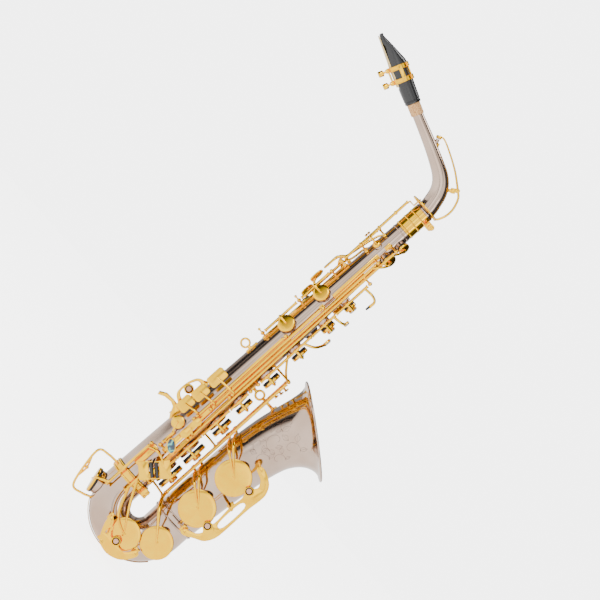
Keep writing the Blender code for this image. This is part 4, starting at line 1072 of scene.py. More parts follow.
def makeRibs():
    for node, angle, low, high, width, posts in bodyRibs:
        piece = startPiece()
        addStrip(piece, angle, low, high, width)
        for line, z in posts:
            addPost(piece, around(rodLines[line], z), angle + (rodLines[line][0] - angle) * 0.25, ball=2.45)
        if node == "back_rib":
            for z in (270, 327):  # key stops with ball ends
                addTube(piece, brass, [(-19, -9.5, z), (-23, -12.5, z), (-28.5, -13, z)], [1.2, 1.0, 0.8],
                        steps=5)
                addBall(piece, brass, (-29, -13, z), 1.7)
        finishPiece(piece, pieceName(node), "body", [node])
    piece = startPiece()
    addStrip(piece, -60, 52, 290, 6.0)
    for z, ends in ((56.2, (-9.0, -17.0)), (139.5, (-1.0,)), (254.0, (-1.0, -9.0, -17.0))):
        foot = outward(-60) * (bodyRadius(z) + 1.0) + Vector((0, 0, z))
        route = [foot, (28, 15, z), (38, ends[0] + 6, z), (bellKeys["rodX"], ends[0] + 1.0, z)]
        if len(ends) > 1:
            route.append((bellKeys["rodX"], ends[-1] - 1.5, z))
        addTube(piece, brass, route, 1.4, steps=5)
        for y in ends:
            addBall(piece, brass, (bellKeys["rodX"], y, z), 2.4)
    addPost(piece, around(rodLines["gSharp"], 287), -66, ball=2.4)
    finishPiece(piece, "bellRodRib", "body", ["bell_rod_rib"])


# Guards: outlines are (x, height) in the plane facing the player's right
guards = {
    "bellPlane": -51.6, "lowCPlane": -46.4, "thick": 1.4,
    "bellOutline": [(87, 166), (96, 166), (109, 159), (115, 149), (116, 139), (114.5, 120), (114.5, 84),
                    (113, 70), (107, 59), (97, 53), (86, 46.5), (80, 47), (81, 52), (93, 58), (98, 65),
                    (93, 70), (93, 77), (99.5, 82), (98, 107), (99.5, 124), (97, 133), (99.5, 141),
                    (103, 147), (98, 155), (86, 160)],
    "bellWindow": [(103, 86), (110, 86), (110, 119), (103, 119)],
    "bellFeet": [(91, 163, -28), (101, 107, -13.6), (84, 49.5, -27.6)],
    "bellBumpers": [(99, 136.5, -48.4), (96.5, 74, -48.4)],
    "lowCOutline": [(14, 1), (14, -10), (24, -28), (34, -33), (46, -33), (60, -26), (69, -10), (63, -6),
                    (55, -18), (44, -17), (38, -9), (33, -17), (25, -10), (20, -2)],
    "lowCFeet": [(17, -3, -25.2), (28, -28.5, -15.5), (65.5, -9.5, -25.5)],
    "lowCBumpers": [(39, -16, -41.5)],
}


def addGuardFoot(piece, x, z, rootY, planeY):
    length = rootY - planeY
    addTurned(piece, brass, (x, rootY, z), (0, -1, 0), [(0, 0), (0, 1.8), (length - 2.2, 1.6),
                                                        (length - 1.0, 2.4), (length - 0.4, 2.4),
                                                        (length - 0.4, 0)], 20)
    addBlock(piece, brass, (x, rootY + 0.6, z), (7.0, 1.6, 9.0), edge=0.5)
    addScrew(piece, (x, planeY - 0.6, z), (0, -1, 0), 2.1, 0.9)


# Bumper screw radii: collar outside, painted shade of the groove, felt core seen from outside, seat and
# felt inside
bumper = {"collar": 5.9, "grooveShade": 4.5, "core": 3.1, "seat": 4.7, "felt": 4.3}


# Threaded bumper screw: a collar outside, a dark disc round the felt core as painted shade in the groove,
# and the felt core that goes through to the cup
def addBumper(piece, x, z, tipY, planeY):
    collar, grooveShade, core, seat, soft = bumper.values()
    addTurned(piece, brass, (x, planeY + 0.4, z), (0, -1, 0),
              [(0.4, soft), (0, collar - 0.3), (0.7, collar), (2.0, collar - 0.1), (2.5, collar - 0.7),
               (2.5, soft + 0.3), (2.0, soft)], 40, closed=True)
    addTurned(piece, leatherAndShade, (x, planeY + 0.2, z), (0, -1, 0),
              [(0, 0), (0, grooveShade), (0.9, grooveShade), (0.9, 0)], 36)
    addTurned(piece, felt, (x, planeY, z), (0, -1, 0),
              [(0, 0), (0, core), (1.6, core), (2.1, core - 0.4), (2.3, 1.8), (2.3, 0)], 32)
    addTurned(piece, brass, (x, planeY, z), (0, 1, 0), [(0, 0), (0, seat), (1.4, seat), (1.4, 0)], 36)
    length = tipY - planeY - 1.2
    addTurned(piece, felt, (x, planeY + 1.2, z), (0, 1, 0),
              [(0, 0), (0, soft), (length - 0.5, soft), (length, soft - 0.5), (length, 0)], 32)


def makeGuards():
    piece = startPiece()
    addPlate(piece, brass, guards["bellOutline"], guards["thick"], rightFacing(guards["bellPlane"]),
             [guards["bellWindow"]], 0.4, smooth=4)
    for x, z, rootY in guards["bellFeet"]:
        addGuardFoot(piece, x, z, rootY, guards["bellPlane"])
    for x, z, tipY in guards["bellBumpers"]:
        addBumper(piece, x, z, tipY, guards["bellPlane"])
    finishPiece(piece, "bellKeyGuard", "body", ["bell_key_guard"])
    piece = startPiece()
    slot = [(24 + 1.9 * math.cos(math.radians(a)), -14 + 4.5 * math.sin(math.radians(a)))
            for a in range(0, 360, 24)]
    addPlate(piece, brass, guards["lowCOutline"], guards["thick"], rightFacing(guards["lowCPlane"]),
             [slot], 0.4, smooth=3)
    for x, z, rootY in guards["lowCFeet"]:
        addGuardFoot(piece, x, z, rootY, guards["lowCPlane"])
    for x, z, tipY in guards["lowCBumpers"]:
        addBumper(piece, x, z, tipY, guards["lowCPlane"])
    finishPiece(piece, "lowCGuard", "body", ["low_c_guard"])
    piece = startPiece()
    addTube(piece, brass, [(-24.2, 0, 42), (-36, 0, 41), (-48.6, 0, 36), (-46, 0, 12), (-38, 0, -13.6),
                           (-24, 0, -12.5), (-14.0, 0, -8)], 1.5, sides=14, steps=6)
    addTube(piece, brass, [(-47.6, 0, 24), (-42.5, 0, 12), (-42.4, 0, -0.5)], 1.2, steps=6)
    addBall(piece, brass, (-42.6, 0, 12.2), 2.3)
    for foot, along in (((-22.4, 0, 42.1), (-1, 0, 0)), ((-11.6, 0, -6.6), (-0.8, 0, -0.6))):
        addTurned(piece, brass, foot, along,
                  [(0, 0), (0, 3.2), (1.0, 3.2), (2.0, 2.4), (3.4, 1.9), (3.4, 0)], 24)
    finishPiece(piece, "lowEbGuard", "body", ["low_eb_guard"])


def makeFittings():
    piece = startPiece()
    addRing(piece, brass, (-26.5, 0, 247), (0, 1, 0), 5.2, 1.3, 56, 16)
    addTurned(piece, brass, (-16.4, 0, 247), (-1, 0, 0),
              [(0, 0), (0, 4.6), (1.4, 4.2), (2.4, 2.4), (4.8, 1.6), (4.8, 0)], 28)
    addBlock(piece, brass, (-17.9, 0, 249), (1.6, 8, 17), edge=0.6)
    for z in (242.2, 255.6):
        addScrew(piece, (-18.6, 0, z), (-1, 0, 0), 1.2, 0.5)
    finishPiece(piece, "strapRing", "body", ["strap_ring"])
    piece = startPiece()
    hook = [(-19.4, 120), (-19.4, 146), (-24, 145), (-27, 140), (-34, 140.5), (-44, 140), (-52, 135),
            (-51, 131), (-44, 135), (-34, 136.5), (-28, 134), (-24, 126)]
    addPlate(piece, brass, hook, 10, rightFacing(0), edge=0.9)
    addScrew(piece, (-24.6, 0, 128.0), (-1, 0, 0.2), 2.4, 1.0)
    finishPiece(piece, "thumbHook", "body", ["thumb_hook"])
    piece = startPiece()
    away = Vector((-0.948, 0.318, 0))
    addTurned(piece, brass, Vector((0, 0, 333)) + away * 14.6, away,
              [(0, 0), (0, 7.5), (1.6, 7.5), (2.2, 7.1), (2.2, 0)], 40)
    addTurned(piece, ebonite, Vector((0, 0, 333)) + away * 16.6, away,
              [(0, 0), (0, 6.6), (1.2, 6.6), (1.9, 6.0), (2.3, 4.0), (2.4, 0)], 40)
    finishPiece(piece, "thumbRest", "body", ["thumb_rest"])


# Guard of the side keys: outline and windows as (x, height)
sideGuard = {
    "plane": -7.0, "thick": 1.3,
    "outline": [(-20, 141), (-29, 142.5), (-37, 148), (-39, 156), (-38, 168), (-34, 178), (-27, 182),
                (-20, 182)],
    "windows": [[(-35, 152), (-28, 148.5), (-24.5, 152), (-24.5, 160), (-35.5, 160)],
                [(-35, 164.5), (-24.5, 164.5), (-24.5, 175), (-30, 176.5), (-33, 173)]],
}


def makeSideGuard():
    piece = startPiece()
    addPlate(piece, brass, sideGuard["outline"], sideGuard["thick"], rightFacing(sideGuard["plane"]),
             sideGuard["windows"], 0.4, smooth=3)
    for z in (148, 175):
        addTurned(piece, brass, (-19.4, sideGuard["plane"], z), (-1, 0, 0),
                  [(0, 0), (0, 3.4), (1.2, 3.2), (2.0, 1.8), (4.5, 1.4), (4.5, 0)], 24)
    addBumper(piece, -31.5, 162.3, sideGuard["plane"] + 3.2, sideGuard["plane"])
    finishPiece(piece, "sideKeyGuard", "body", [])


# Register vent high on the body, with its small cup on a short rod
bodyVent = {"angle": 128, "height": 438, "rod": (150.0, 25.5), "rodHeights": (424, 452)}


def makeBodyVent():
    piece = startPiece()
    out = outward(bodyVent["angle"])
    z = bodyVent["height"]
    reach = bodyRadius(z)
    addTurned(piece, nickel, Vector((0, 0, z)) + out * (reach - 0.6), out,
              [(0, 0), (0, 4.6), (1.0, 4.2), (1.8, 2.9), (3.4, 2.8), (3.4, 0)], 28)
    top = addCup(piece, Vector((0, 0, z)) + out * (reach + 3.0), out, 4.8, deep=3.6)
    low, high = bodyVent["rodHeights"]
    addRod(piece, bodyVent["rod"], low + 2.6, high - 2.6, 1.4)
    for level in (low, high):
        addPost(piece, around(bodyVent["rod"], level), bodyVent["rod"][0], ball=2.1)
    addTube(piece, brass, [around(bodyVent["rod"], z), around((140, 27.5), z), top + out * 0.3],
            [1.7, 1.5, 1.0], steps=6)
    for lobe in range(4):  # four-lobed stop plate
        turn = math.radians(45 + 90 * lobe)
        spot = around((163, 25.0), z) + Vector((math.cos(turn) * 2.6, 0, math.sin(turn) * 2.6))
        addTurned(piece, brass, spot, outward(163),
                  [(0, 0), (0, 1.9), (0.3, 2.1), (1.2, 2.1), (1.4, 1.8), (1.4, 0)], 20)
    finishPiece(piece, "bodyOctaveVent", "body", [])


# Low B, Bb and C sharp keys on their three rods; open is how far they stand open at rest, in degrees
bellKeys = {
    "rodX": 40.2, "open": -8.0,
    # name, cup centre (x, height), tone hole rim y, bore, rod y, rod heights, touch height
    "keys": [("low_b", 82, 133, -34.0, 17.5, -1.0, (143, 251), 231),
             ("low_bb", 79, 78, -32.0, 18.0, -9.0, (59, 251), 238),
             ("low_c_sharp", 76, 16, -29.5, 15.5, -17.0, (59, 251), 245)],
}
stackOpen = -7.0  # degrees that the front keys stand open at rest
# Front keys: name, rod tube heights, cups as (height, bore, pearl radius)
stackKeys = [
    ("rh_d_key", 59.5, 97, [(77, 15.0, 6.0)]), ("rh_e_key", 98, 137, [(115, 13.5, 6.0)]),
    ("rh_f_key", 138, 181, [(160, 11.5, 6.0)]), ("rh_f_sharp_cup", 182, 210.5, [(196, 9.5, 0)]),
    ("lh_g_key", 229.5, 309, [(240, 9.5, 0), (285, 8.5, 0)]), ("lh_a_key", 310, 347, [(331, 7.0, 5.5)]),
    ("lh_b_key", 348, 397.5, [(366, 5.5, 5.5)]),
]


def addBodyCup(piece, angle, z, bore, pearl=0.0):
    direction = outward(angle)
    base = Vector((0, 0, z)) + direction * (bodyRadius(z) + horn["chimneyRise"] + 0.3)
    # Front cups stand deeper: their dark pad band is the pad and also a painted shade of the gap between
    # pad and tone hole
    deep = 7.0 if angle == 0 else 5.2
    return addCup(piece, base, direction, bore + 2.2, pearl, deep) + direction * 0.9


def makeStackKeys():
    for node, low, high, cups in stackKeys:
        piece = startPiece()
        addRod(piece, rodLines["stack"], low, high)
        for z, bore, pearl in cups:
            top = addBodyCup(piece, 0, z, bore, pearl)
            level = min(max(z, low + 4), high - 4)
            start = around(rodLines["stack"], level)
            middle = Vector((top.x + 0.8, -(bore + 4.5), z))
            addTube(piece, brass, [start, middle, top - Vector((0.3, pearl * 0.7, 0))], [1.9, 1.7, 1.4],
                    sides=14, steps=8)
            addTurned(piece, brass, start - Vector((0, 0, 3)), (0, 0, 1),
                      [(0, 0), (0, 2.1), (0.6, 2.35), (5.4, 2.35), (6, 2.1), (6, 0)], 20)
            if node == "lh_g_key" and z == 285:
                addTube(piece, brass, [start + Vector((0, 0, 12)), (30, -13, 304), (35.5, -3, 315),
                                       (35, 0, 318)], [1.8, 1.7, 1.6, 1.6], steps=6)
                addPearl(piece, (33.4, 0, 318), (1, 0, 0), 5.4)
            if not pearl:
                addTurned(piece, brass, top - outward(0) * 0.6, outward(0),
                          [(0, 0), (0, 3.2), (1.2, 2.8), (1.8, 1.6), (1.9, 0)], 24)
        if node == "lh_a_key":  # small button between the fingers' own
            addTube(piece, brass, [around(rodLines["stack"], 344), (30, -14, 346), (33.5, -4, 349)],
                    [1.7, 1.6, 1.5], steps=6)
            addPearl(piece, (32.4, -1.5, 349.5), (1, 0, 0), 3.9)
        if node == "lh_b_key":  # front lever with its dark button
            addTube(piece, brass, [around(rodLines["stack"], 393), (30, -15, 394), (37, -6, 391),
                                   (37.5, -2, 383)], [1.7, 1.6, 1.6, 1.9], steps=6)
            addTurned(piece, ebonite, (35.6, -1.5, 381), (1, 0, 0),
                      [(0, 0), (0, 3.4), (1.6, 3.6), (2.6, 3.2), (3.0, 0)], 28)
        pivot = around(rodLines["stack"], (low + high) / 2)
        finishPiece(piece, pieceName(node), node, [node], pivot, stackOpen)


# Side keys: CAD node, rod line, rod tube heights, touch height and angle
sideKeys = [("side_bb_touch", "sideBb", 148, 284, 149, 132),
            ("side_c_touch", "sideC", 170, 338.5, 170.5, 128),
            ("side_e_key", "sideE", 195, 420.5, 196.5, 128)]
sideCups = [("side_bb_cup", 273.5, 323.5, 298, 8.5), ("side_c_cup", 330.5, 374.5, 352, 8.0)]


def makeSideKeys():
    for node, line, low, high, z, angle in sideKeys:
        piece = startPiece()
        touch = around((angle, 34.5), z)
        start = around(rodLines[line], low + 4)
        middle = around((rodLines[line][0] + 8, 34.5), low + 4)
        addRod(piece, rodLines[line], low, high)
        addTube(piece, brass, [start, middle, touch], [1.7, 1.6, 1.4], steps=8)
        addTouch(piece, touch, outward(100), 14.5, 24 if node == "side_e_key" else 20.4, corner=3.2)
        if node == "side_e_key":
            top = addBodyCup(piece, 45, 436, 6.0)
            addTube(piece, brass, [around(rodLines[line], 414), around((75, 32.2), 419),
                                   around((60, 30.5), 429), top], 1.4)
        finishPiece(piece, pieceName(node), node, [node])
    for node, low, high, z, bore in sideCups:
        piece = startPiece()
        top = addBodyCup(piece, 125, z, bore)
        addRod(piece, rodLines["sideCup"], low, high)
        addTube(piece, brass, [around(rodLines["sideCup"], z), around((146, 29), z), top],
                [1.9, 1.7, 1.0], steps=8)
        finishPiece(piece, pieceName(node), node, [node])
    piece = startPiece()
    line = rodLines["highFs"]
    top = addBodyCup(piece, 40, 458, 5.0)
    touch = Vector((1.5, -33.0, 135))
    addRod(piece, line, 126, 445)
    kidney = [(-4.6, -13), (-1, -15), (3.4, -13.6), (5, -8), (3.6, -1), (3.4, 5), (4.6, 11), (1.6, 15),
              (-3, 14.4), (-5, 8), (-3.4, 0), (-4.8, -7)]
    addPlate(piece, brass, kidney, 1.8,
             Matrix.Translation(touch) @ Matrix.Rotation(math.radians(90), 4, "X"), edge=0.5, smooth=4)
    addTube(piece, brass, [around(line, 130), around((76, 32.5), 131), touch], 1.5)
    addTube(piece, brass, [around(line, 442), around((55, 25.0), 449), top], 1.4)
    finishPiece(piece, "highFSharpKey", "high_f_sharp_key", ["high_f_sharp_key"])


# The abalone oval lies slanting, in degrees from the horizontal
shellSlant = -42.0


def makeAltFSharp():
    piece = startPiece()
    line = rodLines["altFs"]
    top = addBodyCup(piece, 118, 128, 6.0)
    touch = Vector((1.5, -32.5, 104))
    addRod(piece, line, 99, 117)
    oval = [(9.5 * math.cos(2 * math.pi * k / 28), 5.5 * math.sin(2 * math.pi * k / 28)) for k in range(28)]
    facing = Matrix.Translation(touch) @ Matrix.Rotation(math.radians(90), 4, "X")
    facing = facing @ Matrix.Rotation(math.radians(shellSlant), 4, "Z")
    addPlate(piece, brass, oval, 2.4, facing, edge=0.5)
    shell = [(x * 0.88, y * 0.84) for x, y in oval]
    addPlate(piece, abalone, shell, 1.2, facing @ Matrix.Translation((0, 0, 1.3)), edge=0.5)
    addTube(piece, brass, [around(line, 103), Vector((-4, -32, 104)), touch + Vector((-2, 1, 0))], 1.4)
    addTube(piece, brass, [around(line, 114), around((112, 29), 121), top], 1.3)
    finishPiece(piece, "altFSharpKey", "alt_f_sharp_key", ["alt_f_sharp_key"])


# Palm keys: CAD node, rod line, cup height, touch shift and height, way from the rod to the cup
palmKeys = [("palm_d_key", "palmD", 412, 10, 356, [(-77, 25.0, 403)]),
            ("palm_eb_key", "palmEb", 434, -6, 343, [(-122, 26, 408), (-116, 26, 427)]),
            ("palm_f_key", "palmF", 455, -10, 362, [(-141, 26, 408), (-119, 26, 447)])]


def makePalmKeys():
    leaf = [(-4.6, -8), (0, -9.5), (4.6, -8), (5.6, -1), (4.8, 6), (0, 9.5), (-4.8, 6), (-5.6, -1)]
    for node, lineName, z, shift, touchZ, route in palmKeys:
        piece = startPiece()
        line = rodLines[lineName]
        top = addBodyCup(piece, -92, z, 6.3)
        touch = around((line[0] + shift, 31), touchZ)
        addRod(piece, line, 350, 397.5)
        addPlate(piece, brass, leaf, 2.2, facingMatrix(touch, outward(line[0] + shift / 2)), edge=0.8,
                 smooth=4)
        addTube(piece, brass, [around(line, 355), around((line[0] + shift / 3, 28), 354), touch],
                [1.8, 1.6, 1.3])
        addTube(piece, brass, [around(line, 388), around((line[0], 29), 396)]
                + [around((angle, reach), level) for angle, reach, level in route] + [top], 1.4)
        finishPiece(piece, pieceName(node), node, [node])


def makeOctaveParts():
    piece = startPiece()
    line = rodLines["octave"]
    touch = Vector((-29, 9, 385))
    addRod(piece, line, 399, 499)
    for z in (423, 452, 478):
        addTurned(piece, brass, around(line, z), (0, 0, 1),
                  [(0, 0), (0, 2.2), (0.4, 2.5), (2.2, 2.5), (2.6, 2.2), (2.6, 0)], 20)
    spoon = [(-6, -9), (0, -11), (6, -9), (7, 0), (6, 8), (0, 11), (-6, 8), (-7, 0)]
    addPlate(piece, brass, spoon, 1.8, facingMatrix(touch, (-1, 0, 0)), edge=0.6, smooth=4)
    addTube(piece, brass, [around(line, 403), Vector((-28, 3, 396)), touch], [1.8, 1.7, 1.4])
    addTube(piece, brass, [around(line, 496), Vector((-21.5, -8, 500.5)), Vector((-14.9, -9.0, 500.5)),
                           Vector((-14.9, -9.0, 510.5))], 1.1, steps=1)
    finishPiece(piece, "octaveLever", "octave_lever", ["octave_lever"])
    piece = startPiece()
    hinge = Vector((8.0, 0, 551.0))
    addTurned(piece, brass, hinge - Vector((0, 3.4, 0)), (0, 1, 0),
              [(0, 0), (0, 1.9), (0.3, 2.1), (6.5, 2.1), (6.8, 1.9), (6.8, 0)], 24)
    addTube(piece, brass, [hinge, Vector((-14, 0, 565)), Vector((-44, 0, 578)), Vector((-53.5, 0, 578))],
            [1.9, 1.6, 1.4, 1.3], sides=14, flat=0.75, up=(0, 0, 1))
    ventTop, ventLean = Vector((-53.1, 0, 573.9)), (-0.338, 0, 0.941)
    addTurned(piece, brass, ventTop, ventLean,
              [(1.0, 0), (1.0, 3.2), (1.4, 3.6), (3.2, 3.5), (3.9, 2.8), (4.1, 0)], 32)
    addTurned(piece, corkSheet, ventTop, ventLean,
              [(0, 0), (0, 2.9), (1.2, 3.0), (1.2, 0)], 28)
    addTube(piece, brass, [hinge, Vector((15, 0, 545)), Vector((20, 0, 533)), Vector((20.5, 0, 522)),
                           Vector((17.5, 0, 512)), Vector((14.6, 0, 508.6))], 1.4, sides=14)
    addRing(piece, brass, (-3.2, 0, 508.6), (0, 0, 1), 18.0, 1.1, 80, 12)
    addBall(piece, brass, (14.7, 0, 508.6), 1.9)
    finishPiece(piece, "neckOctaveKey", "neck_octave_key", ["neck_octave_key"])


# From a tone hole's rim to the face of its cup: gap, pad, gap and cup
cupDepth = 0.3 + 2.4 + 0.3 + 1.8


# Wide spun cup facing the player's right: flat face, crisp turned edge and a low centre boss
def addLargeCup(piece, x, face, z, radius):
    addTurned(piece, brass, (x, face + 1.8, z), (0, -1, 0),
              [(-0.1, 0), (-0.1, radius - 0.5), (-0.2, radius - 0.1), (0.3, radius + 0.1),
               (1.0, radius + 0.05), (1.5, radius - 0.25), (1.72, radius - 0.8), (1.8, radius * 0.8),
               (1.9, radius * 0.4), (1.95, 0)], 96)
    addTurned(piece, brass, (x, face, z), (0, -1, 0),
              [(-0.3, 0), (-0.3, 2.6), (0.4, 2.4), (0.8, 1.6), (0.9, 0)], 28)


def makePad(name, x, top, z, radius, pivot):
    piece = startPiece()
    addTurned(piece, leatherAndShade, (x, top - 0.3, z), (0, -1, 0),
              [(0.15, 0), (0, radius * 0.5), (0.1, radius - 0.9), (0.5, radius - 0.2), (1.2, radius),
               (2.0, radius - 0.2), (2.4, radius - 0.8), (2.4, 0)], 64)
    addTurned(piece, brass, (x, top - 0.25, z), (0, 1, 0),
              [(-0.6, 0), (-0.1, 5.4), (0.25, 4.6), (0.5, 2.0), (0.5, 0)], 32)
    finishPiece(piece, pieceName(name) + "Pad", name + "_key", [name + "_pad"], pivot,
                bellKeys["open"])


def makeBellKeys():
    for name, x, z, top, bore, rodY, heights, touchZ in bellKeys["keys"]:
        rod = (bellKeys["rodX"], rodY)
        pivot = Vector((*rod, sum(heights) / 2))
        makePad(name, x, top, z, bore + 2.0, pivot)
        face = top - cupDepth
        piece = startPiece()
        addRod(piece, (*rod, 0), *heights)
        addLargeCup(piece, x, face, z, bore + 4.4)
        if name == "low_c_sharp":
            addTube(piece, brass, [(*rod, 63), (42.0, -26, 54), (54, face - 3, 40), (x, face - 0.8, z)],
                    [1.9, 2.2, 2.4, 0.9], sides=14)
            addTurned(piece, brass, (*rod, 61), (0, 0, 1), [(0, 0), (0, 2.3), (4, 2.3), (4, 0)], 24)
        else:
            for high in (38, 27):
                addTube(piece, brass, [(*rod, z + high), (45.6, rodY - 8, z + high * 0.95),
                                       (47, -24, z + high * 0.85), (57, face - 1.4, z + high * 0.6),
                                       (x + 2, face - 0.8, z)], [1.9, 1.6, 1.7, 1.9, 0.5], sides=14)
                addTurned(piece, brass, (*rod, z + high - 2.2), (0, 0, 1),
                          [(0, 0), (0, 2.1), (0.5, 2.4), (3.9, 2.4), (4.4, 2.1), (4.4, 0)], 24)
        addTube(piece, brass, [(*rod, touchZ), (44.4, rodY + 6, touchZ), (45.4, 6, touchZ),
                               (45, 16, touchZ)], 1.3)
        addTouch(piece, Vector((45.0, 21, touchZ)), (1, 0, 0), 18, 5.4, corner=2.0)
        finishPiece(piece, pieceName(name) + "Key", name + "_key", [name + "_key"], pivot,
                    bellKeys["open"])


def makeGSharpKey():
    piece = startPiece()
    line = rodLines["gSharp"]
    top = addBodyCup(piece, -48, 312, 8.0)
    touch = Vector((43.0, 22.0, 252.0))
    addRod(piece, line, 290, 330)
    addTouch(piece, touch, (1, 0, 0), 18, 6, corner=2.2)
    addTube(piece, brass, [around(line, 296), Vector((14, 29, 282)), Vector((33, 27, 260)), touch], 1.5)
    addTube(piece, brass, [around(line, 312), around((-66, 27.0), 312), top], 1.5)
    finishPiece(piece, "gSharpKey", "g_sharp_key", ["g_sharp_key"])


# Right little finger: two touches with a roller each
fingerTable = {
    "ebRod": (-15.5, -25.0), "cRod": (4.0, -30.5), "centre": (9.0, -37.0, 71.0), "line": (18, 0, -14),
    "touchAside": 10.2, "rollerAside": 2.6,
}


def makeBowKeys():
    centre = Vector(fingerTable["centre"])
    along = Vector(fingerTable["line"]).normalized()
    aside = Vector((-along.z, 0, along.x))
    spin = Matrix.Rotation(math.atan2(-along.z, along.x), 4, "Y")
    ebRod, cRod = fingerTable["ebRod"], fingerTable["cRod"]
    cPivot = Vector((*cRod, 44))

    def addCheeks(piece, middle, away):
        for end in (-1, 1):
            addBlock(piece, brass, middle + along * 9.9 * end + away * 2.2, (1.2, 2.0, 8.0), spin, 0.3)

    for node, side, turn in (("roller_eb", 1, 0.0), ("roller_c", -1, bellKeys["open"])):
        piece = startPiece()
        middle = centre + aside * fingerTable["rollerAside"] * side
        addTurned(piece, ebonite, middle - along * 9, along,
                  [(0, 0), (0, 1.5), (0.4, 2.0), (0.9, 2.15), (17.1, 2.15), (17.6, 2.0), (18, 1.5),
                   (18, 0)], 28)
        finishPiece(piece, pieceName(node), node, [node], cPivot, turn)

    piece = startPiece()
    facing = Vector((-0.966, 0, -0.259))
    base = Vector((2.2, 0, 16.5)) + facing * 26.1
    addRod(piece, (*ebRod, 0), 18, 86)
    top = addCup(piece, base, facing, 15.7)
    addTube(piece, brass, [(*ebRod, 22), (-27.5, -19, 15), top + facing * 0.8], [2.0, 1.8, 1.2], sides=14)
    ebTouch = centre + aside * fingerTable["touchAside"]
    addBlock(piece, brass, ebTouch + aside * 2.2, (22, 1.8, 13.4), spin, 0.7)
    addTube(piece, brass, [(*ebRod, 83), (-6, -34.5, 88), (6, -36.8, 86), ebTouch + Vector((0, 0.6, 0))],
            1.5)
    addCheeks(piece, centre + aside * fingerTable["rollerAside"], aside)
    finishPiece(piece, "lowEbKey", "low_eb_key", ["low_eb_key"])

    x, rim, z = 41, -28.5, -5
    makePad("low_c", x, rim, z, 17.5, cPivot)
    face = rim - cupDepth
    piece = startPiece()
    addRod(piece, (*cRod, 0), 29, 58)
    addLargeCup(piece, x, face, z, 19.8)
    addTube(piece, brass, [(*cRod, 50), (20, face - 2, 24), (x, face - 0.8, z)], [1.9, 1.8, 0.8],
            sides=14)
    addTube(piece, brass, [(*cRod, 36), (20, face - 2.4, 6), (x, face - 0.8, z)], [1.9, 1.8, 0.8],
            sides=14)
    cTouch = centre - aside * fingerTable["touchAside"]
    addBlock(piece, brass, cTouch - aside * 1.6, (22, 1.8, 12.2), spin, 0.7)
    addTube(piece, brass, [(*cRod, 54), cTouch + Vector((0, 0.6, 0))], 1.5, steps=1)
    addCheeks(piece, centre - aside * fingerTable["rollerAside"], -aside)
    finishPiece(piece, "lowCKey", "low_c_key", ["low_c_key"], cPivot, bellKeys["open"])

    piece = startPiece()
    addBlock(piece, brass, (0.6, -23.9, 61.5), (18, 1.8, 4.0), edge=0.5)
    for foot, ball in (((3, -23.5, 61), (*cRod, 61)), ((-11, -20.0, 89), (*ebRod, 89))):
        addPost(piece, ball, foot=foot, ball=2.4)
    addBlock(piece, brass, (-9.6, -22.2, 75), (3.4, 9, 31), Matrix.Rotation(math.radians(66), 4, "Z"), 0.6)
    finishPiece(piece, "littleFingerPosts", "body", ["little_finger_posts"])


makeNeck()
makeMouthpiece()
makeLigature()
makeReceiver()
makeRibs()
makeGuards()
makeFittings()
makeSideGuard()
makeBodyVent()
print("fittings ready")
makeStackKeys()
makeSideKeys()
makeAltFSharp()
makePalmKeys()
makeOctaveParts()
makeBellKeys()
makeGSharpKey()
makeBowKeys()
print("keys ready")

# Studio: a pale floor and walls with dark gaps between the soft boxes,
# and a long lens from the player's right
studio = {
    "floorGap": 0.002, "floorHalf": 4.0, "floorGlow": 4.7, "floorBounce": 1.3, "wallShade": 5.0,
    "worldStrength": 1.0,
    # brightness of the room by direction: from behind the object (0) round to behind the camera (1)
    "roomShades": [(0.0, 0.6), (0.2, 0.5), (0.3, 0.04), (0.45, 0.02), (0.54, 0.3), (0.6, 0.03),
                   (0.68, 0.05), (0.76, 1.2), (0.84, 2.3), (0.9, 1.4), (1.0, 2.8)],
    # dark flags beside the soft boxes, from the left (0) to the right (1)
    "flagShades": [(0.0, 1.0), (0.3, 1.0), (0.37, 0.25), (0.42, 1.0), (0.57, 1.0), (0.61, 0.35),
                   (0.66, 1.0), (1.0, 0.8)],
    "lights": [  # name, place, size, watts
        ("keyLight", (-1.3, -1.5, 1.2), (0.9, 0.9), 17.0),
        ("fillLight", (1.6, -1.6, 0.2), (0.5, 1.4), 7.0),
        ("topLight", (0.0, 0.3, 2.0), (1.4, 0.5), 18.0)],
    "lens": 150.0, "span": 0.702, "azimuth": -6.0, "elevation": 0.0, "roll": 48.0,
    "aim": (0.0055, 0.0, 0.081),
}


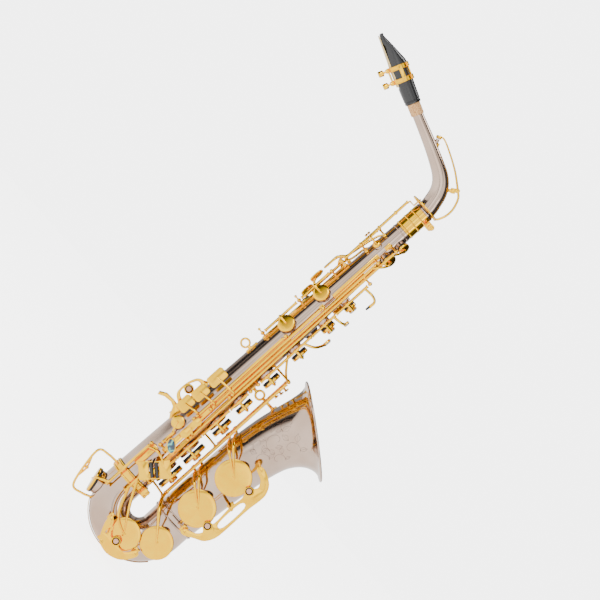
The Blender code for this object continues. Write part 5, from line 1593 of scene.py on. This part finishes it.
def makeStudio():
    bm = bmesh.new()
    half = studio["floorHalf"]
    level = cadBox[0][2] - studio["floorGap"]
    bm.faces.new([bm.verts.new((x * half, y * half, level)) for x, y in
                  ((-1, -1), (1, -1), (1, 1), (-1, 1))])
    mesh = bpy.data.meshes.new("studioFloor")
    bm.to_mesh(mesh)
    bm.free()
    floor = bpy.data.objects.new("studioFloor", mesh)
    bpy.context.scene.collection.objects.link(floor)
    # Seamless paper: matt, very pale, with a breath of fibre mottling
    paper, tree, shader = newMaterial("seamlessPaper", Roughness=0.95, Emission_Color=linear("#FFFFFF"),
                                      Emission_Strength=studio["floorGlow"])
    mottle = addNode(tree, "ShaderNodeTexNoise", [(objectPlace(tree), "Vector")], in_Scale=60.0,
                     in_Detail=3.0)
    colours = addNode(tree, "ShaderNodeValToRGB", [(mottle.outputs["Fac"], "Fac")])
    setRamp(colours, [(0.2, linear("#F6F5F3")), (0.8, linear("#FCFBFA"))])
    tree.links.new(colours.outputs["Color"], shader.inputs["Base Color"])
    glow = addNode(tree, "ShaderNodeMapRange",
                   [(addNode(tree, "ShaderNodeLightPath").outputs["Is Camera Ray"], "Value")],
                   in_3=studio["floorBounce"], in_4=studio["floorGlow"])
    tree.links.new(glow.outputs["Result"], shader.inputs["Emission Strength"])
    mesh.materials.append(paper)

    world = bpy.data.worlds.new("studioWorld")
    bpy.context.scene.world = world
    world.use_nodes = True
    sky = world.node_tree
    background = sky.nodes["Background"]
    split = addNode(sky, "ShaderNodeSeparateXYZ",
                    [(addNode(sky, "ShaderNodeTexCoord").outputs["Generated"], "Vector")])
    shades = []
    for axis, low, high, stops in (("Y", 1.0, -1.0, studio["roomShades"]),
                                   ("X", -1.0, 1.0, studio["flagShades"])):
        place = addNode(sky, "ShaderNodeMapRange", [(split.outputs[axis], "Value")], in_1=low, in_2=high)
        ramp = addNode(sky, "ShaderNodeValToRGB", [(place.outputs["Result"], "Fac")])
        setRamp(ramp, [(at, (shade, shade, shade)) for at, shade in stops])
        shades.append(ramp.outputs["Color"])
    room = addNode(sky, "ShaderNodeMix", [(shades[0], 6), (shades[1], 7)], data_type="RGBA",
                   blend_type="MULTIPLY", in_0=1.0)
    seen = addNode(sky, "ShaderNodeLightPath")
    wall = studio["wallShade"]
    paperWall = addNode(sky, "ShaderNodeMix", [(seen.outputs["Is Camera Ray"], 0), (room.outputs[2], 6)],
                        data_type="RGBA", in_7=(wall, wall, wall, 1.0))
    sky.links.new(paperWall.outputs[2], background.inputs["Color"])
    background.inputs["Strength"].default_value = studio["worldStrength"]

    for name, where, size, watts in studio["lights"]:
        data = bpy.data.lights.new(name, "AREA")
        data.shape = "RECTANGLE"
        data.size, data.size_y = size
        data.energy = watts
        lamp = bpy.data.objects.new(name, data)
        lamp.location = where
        lamp.rotation_euler = (Vector(studio["aim"]) - Vector(where)).to_track_quat("-Z", "Y").to_euler()
        bpy.context.scene.collection.objects.link(lamp)


def makeCamera():
    data = bpy.data.cameras.new("camera")
    data.lens = studio["lens"]
    data.sensor_width = 36.0
    distance = studio["span"] * studio["lens"] / data.sensor_width
    azimuth, elevation = math.radians(studio["azimuth"]), math.radians(studio["elevation"])
    away = Vector((math.sin(azimuth) * math.cos(elevation), -math.cos(azimuth) * math.cos(elevation),
                   math.sin(elevation)))
    camera = bpy.data.objects.new("camera", data)
    camera.location = Vector(studio["aim"]) + away * distance
    upright = away.to_track_quat("Z", "Y")
    camera.rotation_mode = "QUATERNION"
    spin = Matrix.Rotation(math.radians(studio["roll"]), 4, "Z").to_quaternion()
    camera.rotation_quaternion = upright @ spin
    bpy.context.scene.collection.objects.link(camera)
    bpy.context.scene.camera = camera


makeStudio()
makeCamera()
print("studio ready")
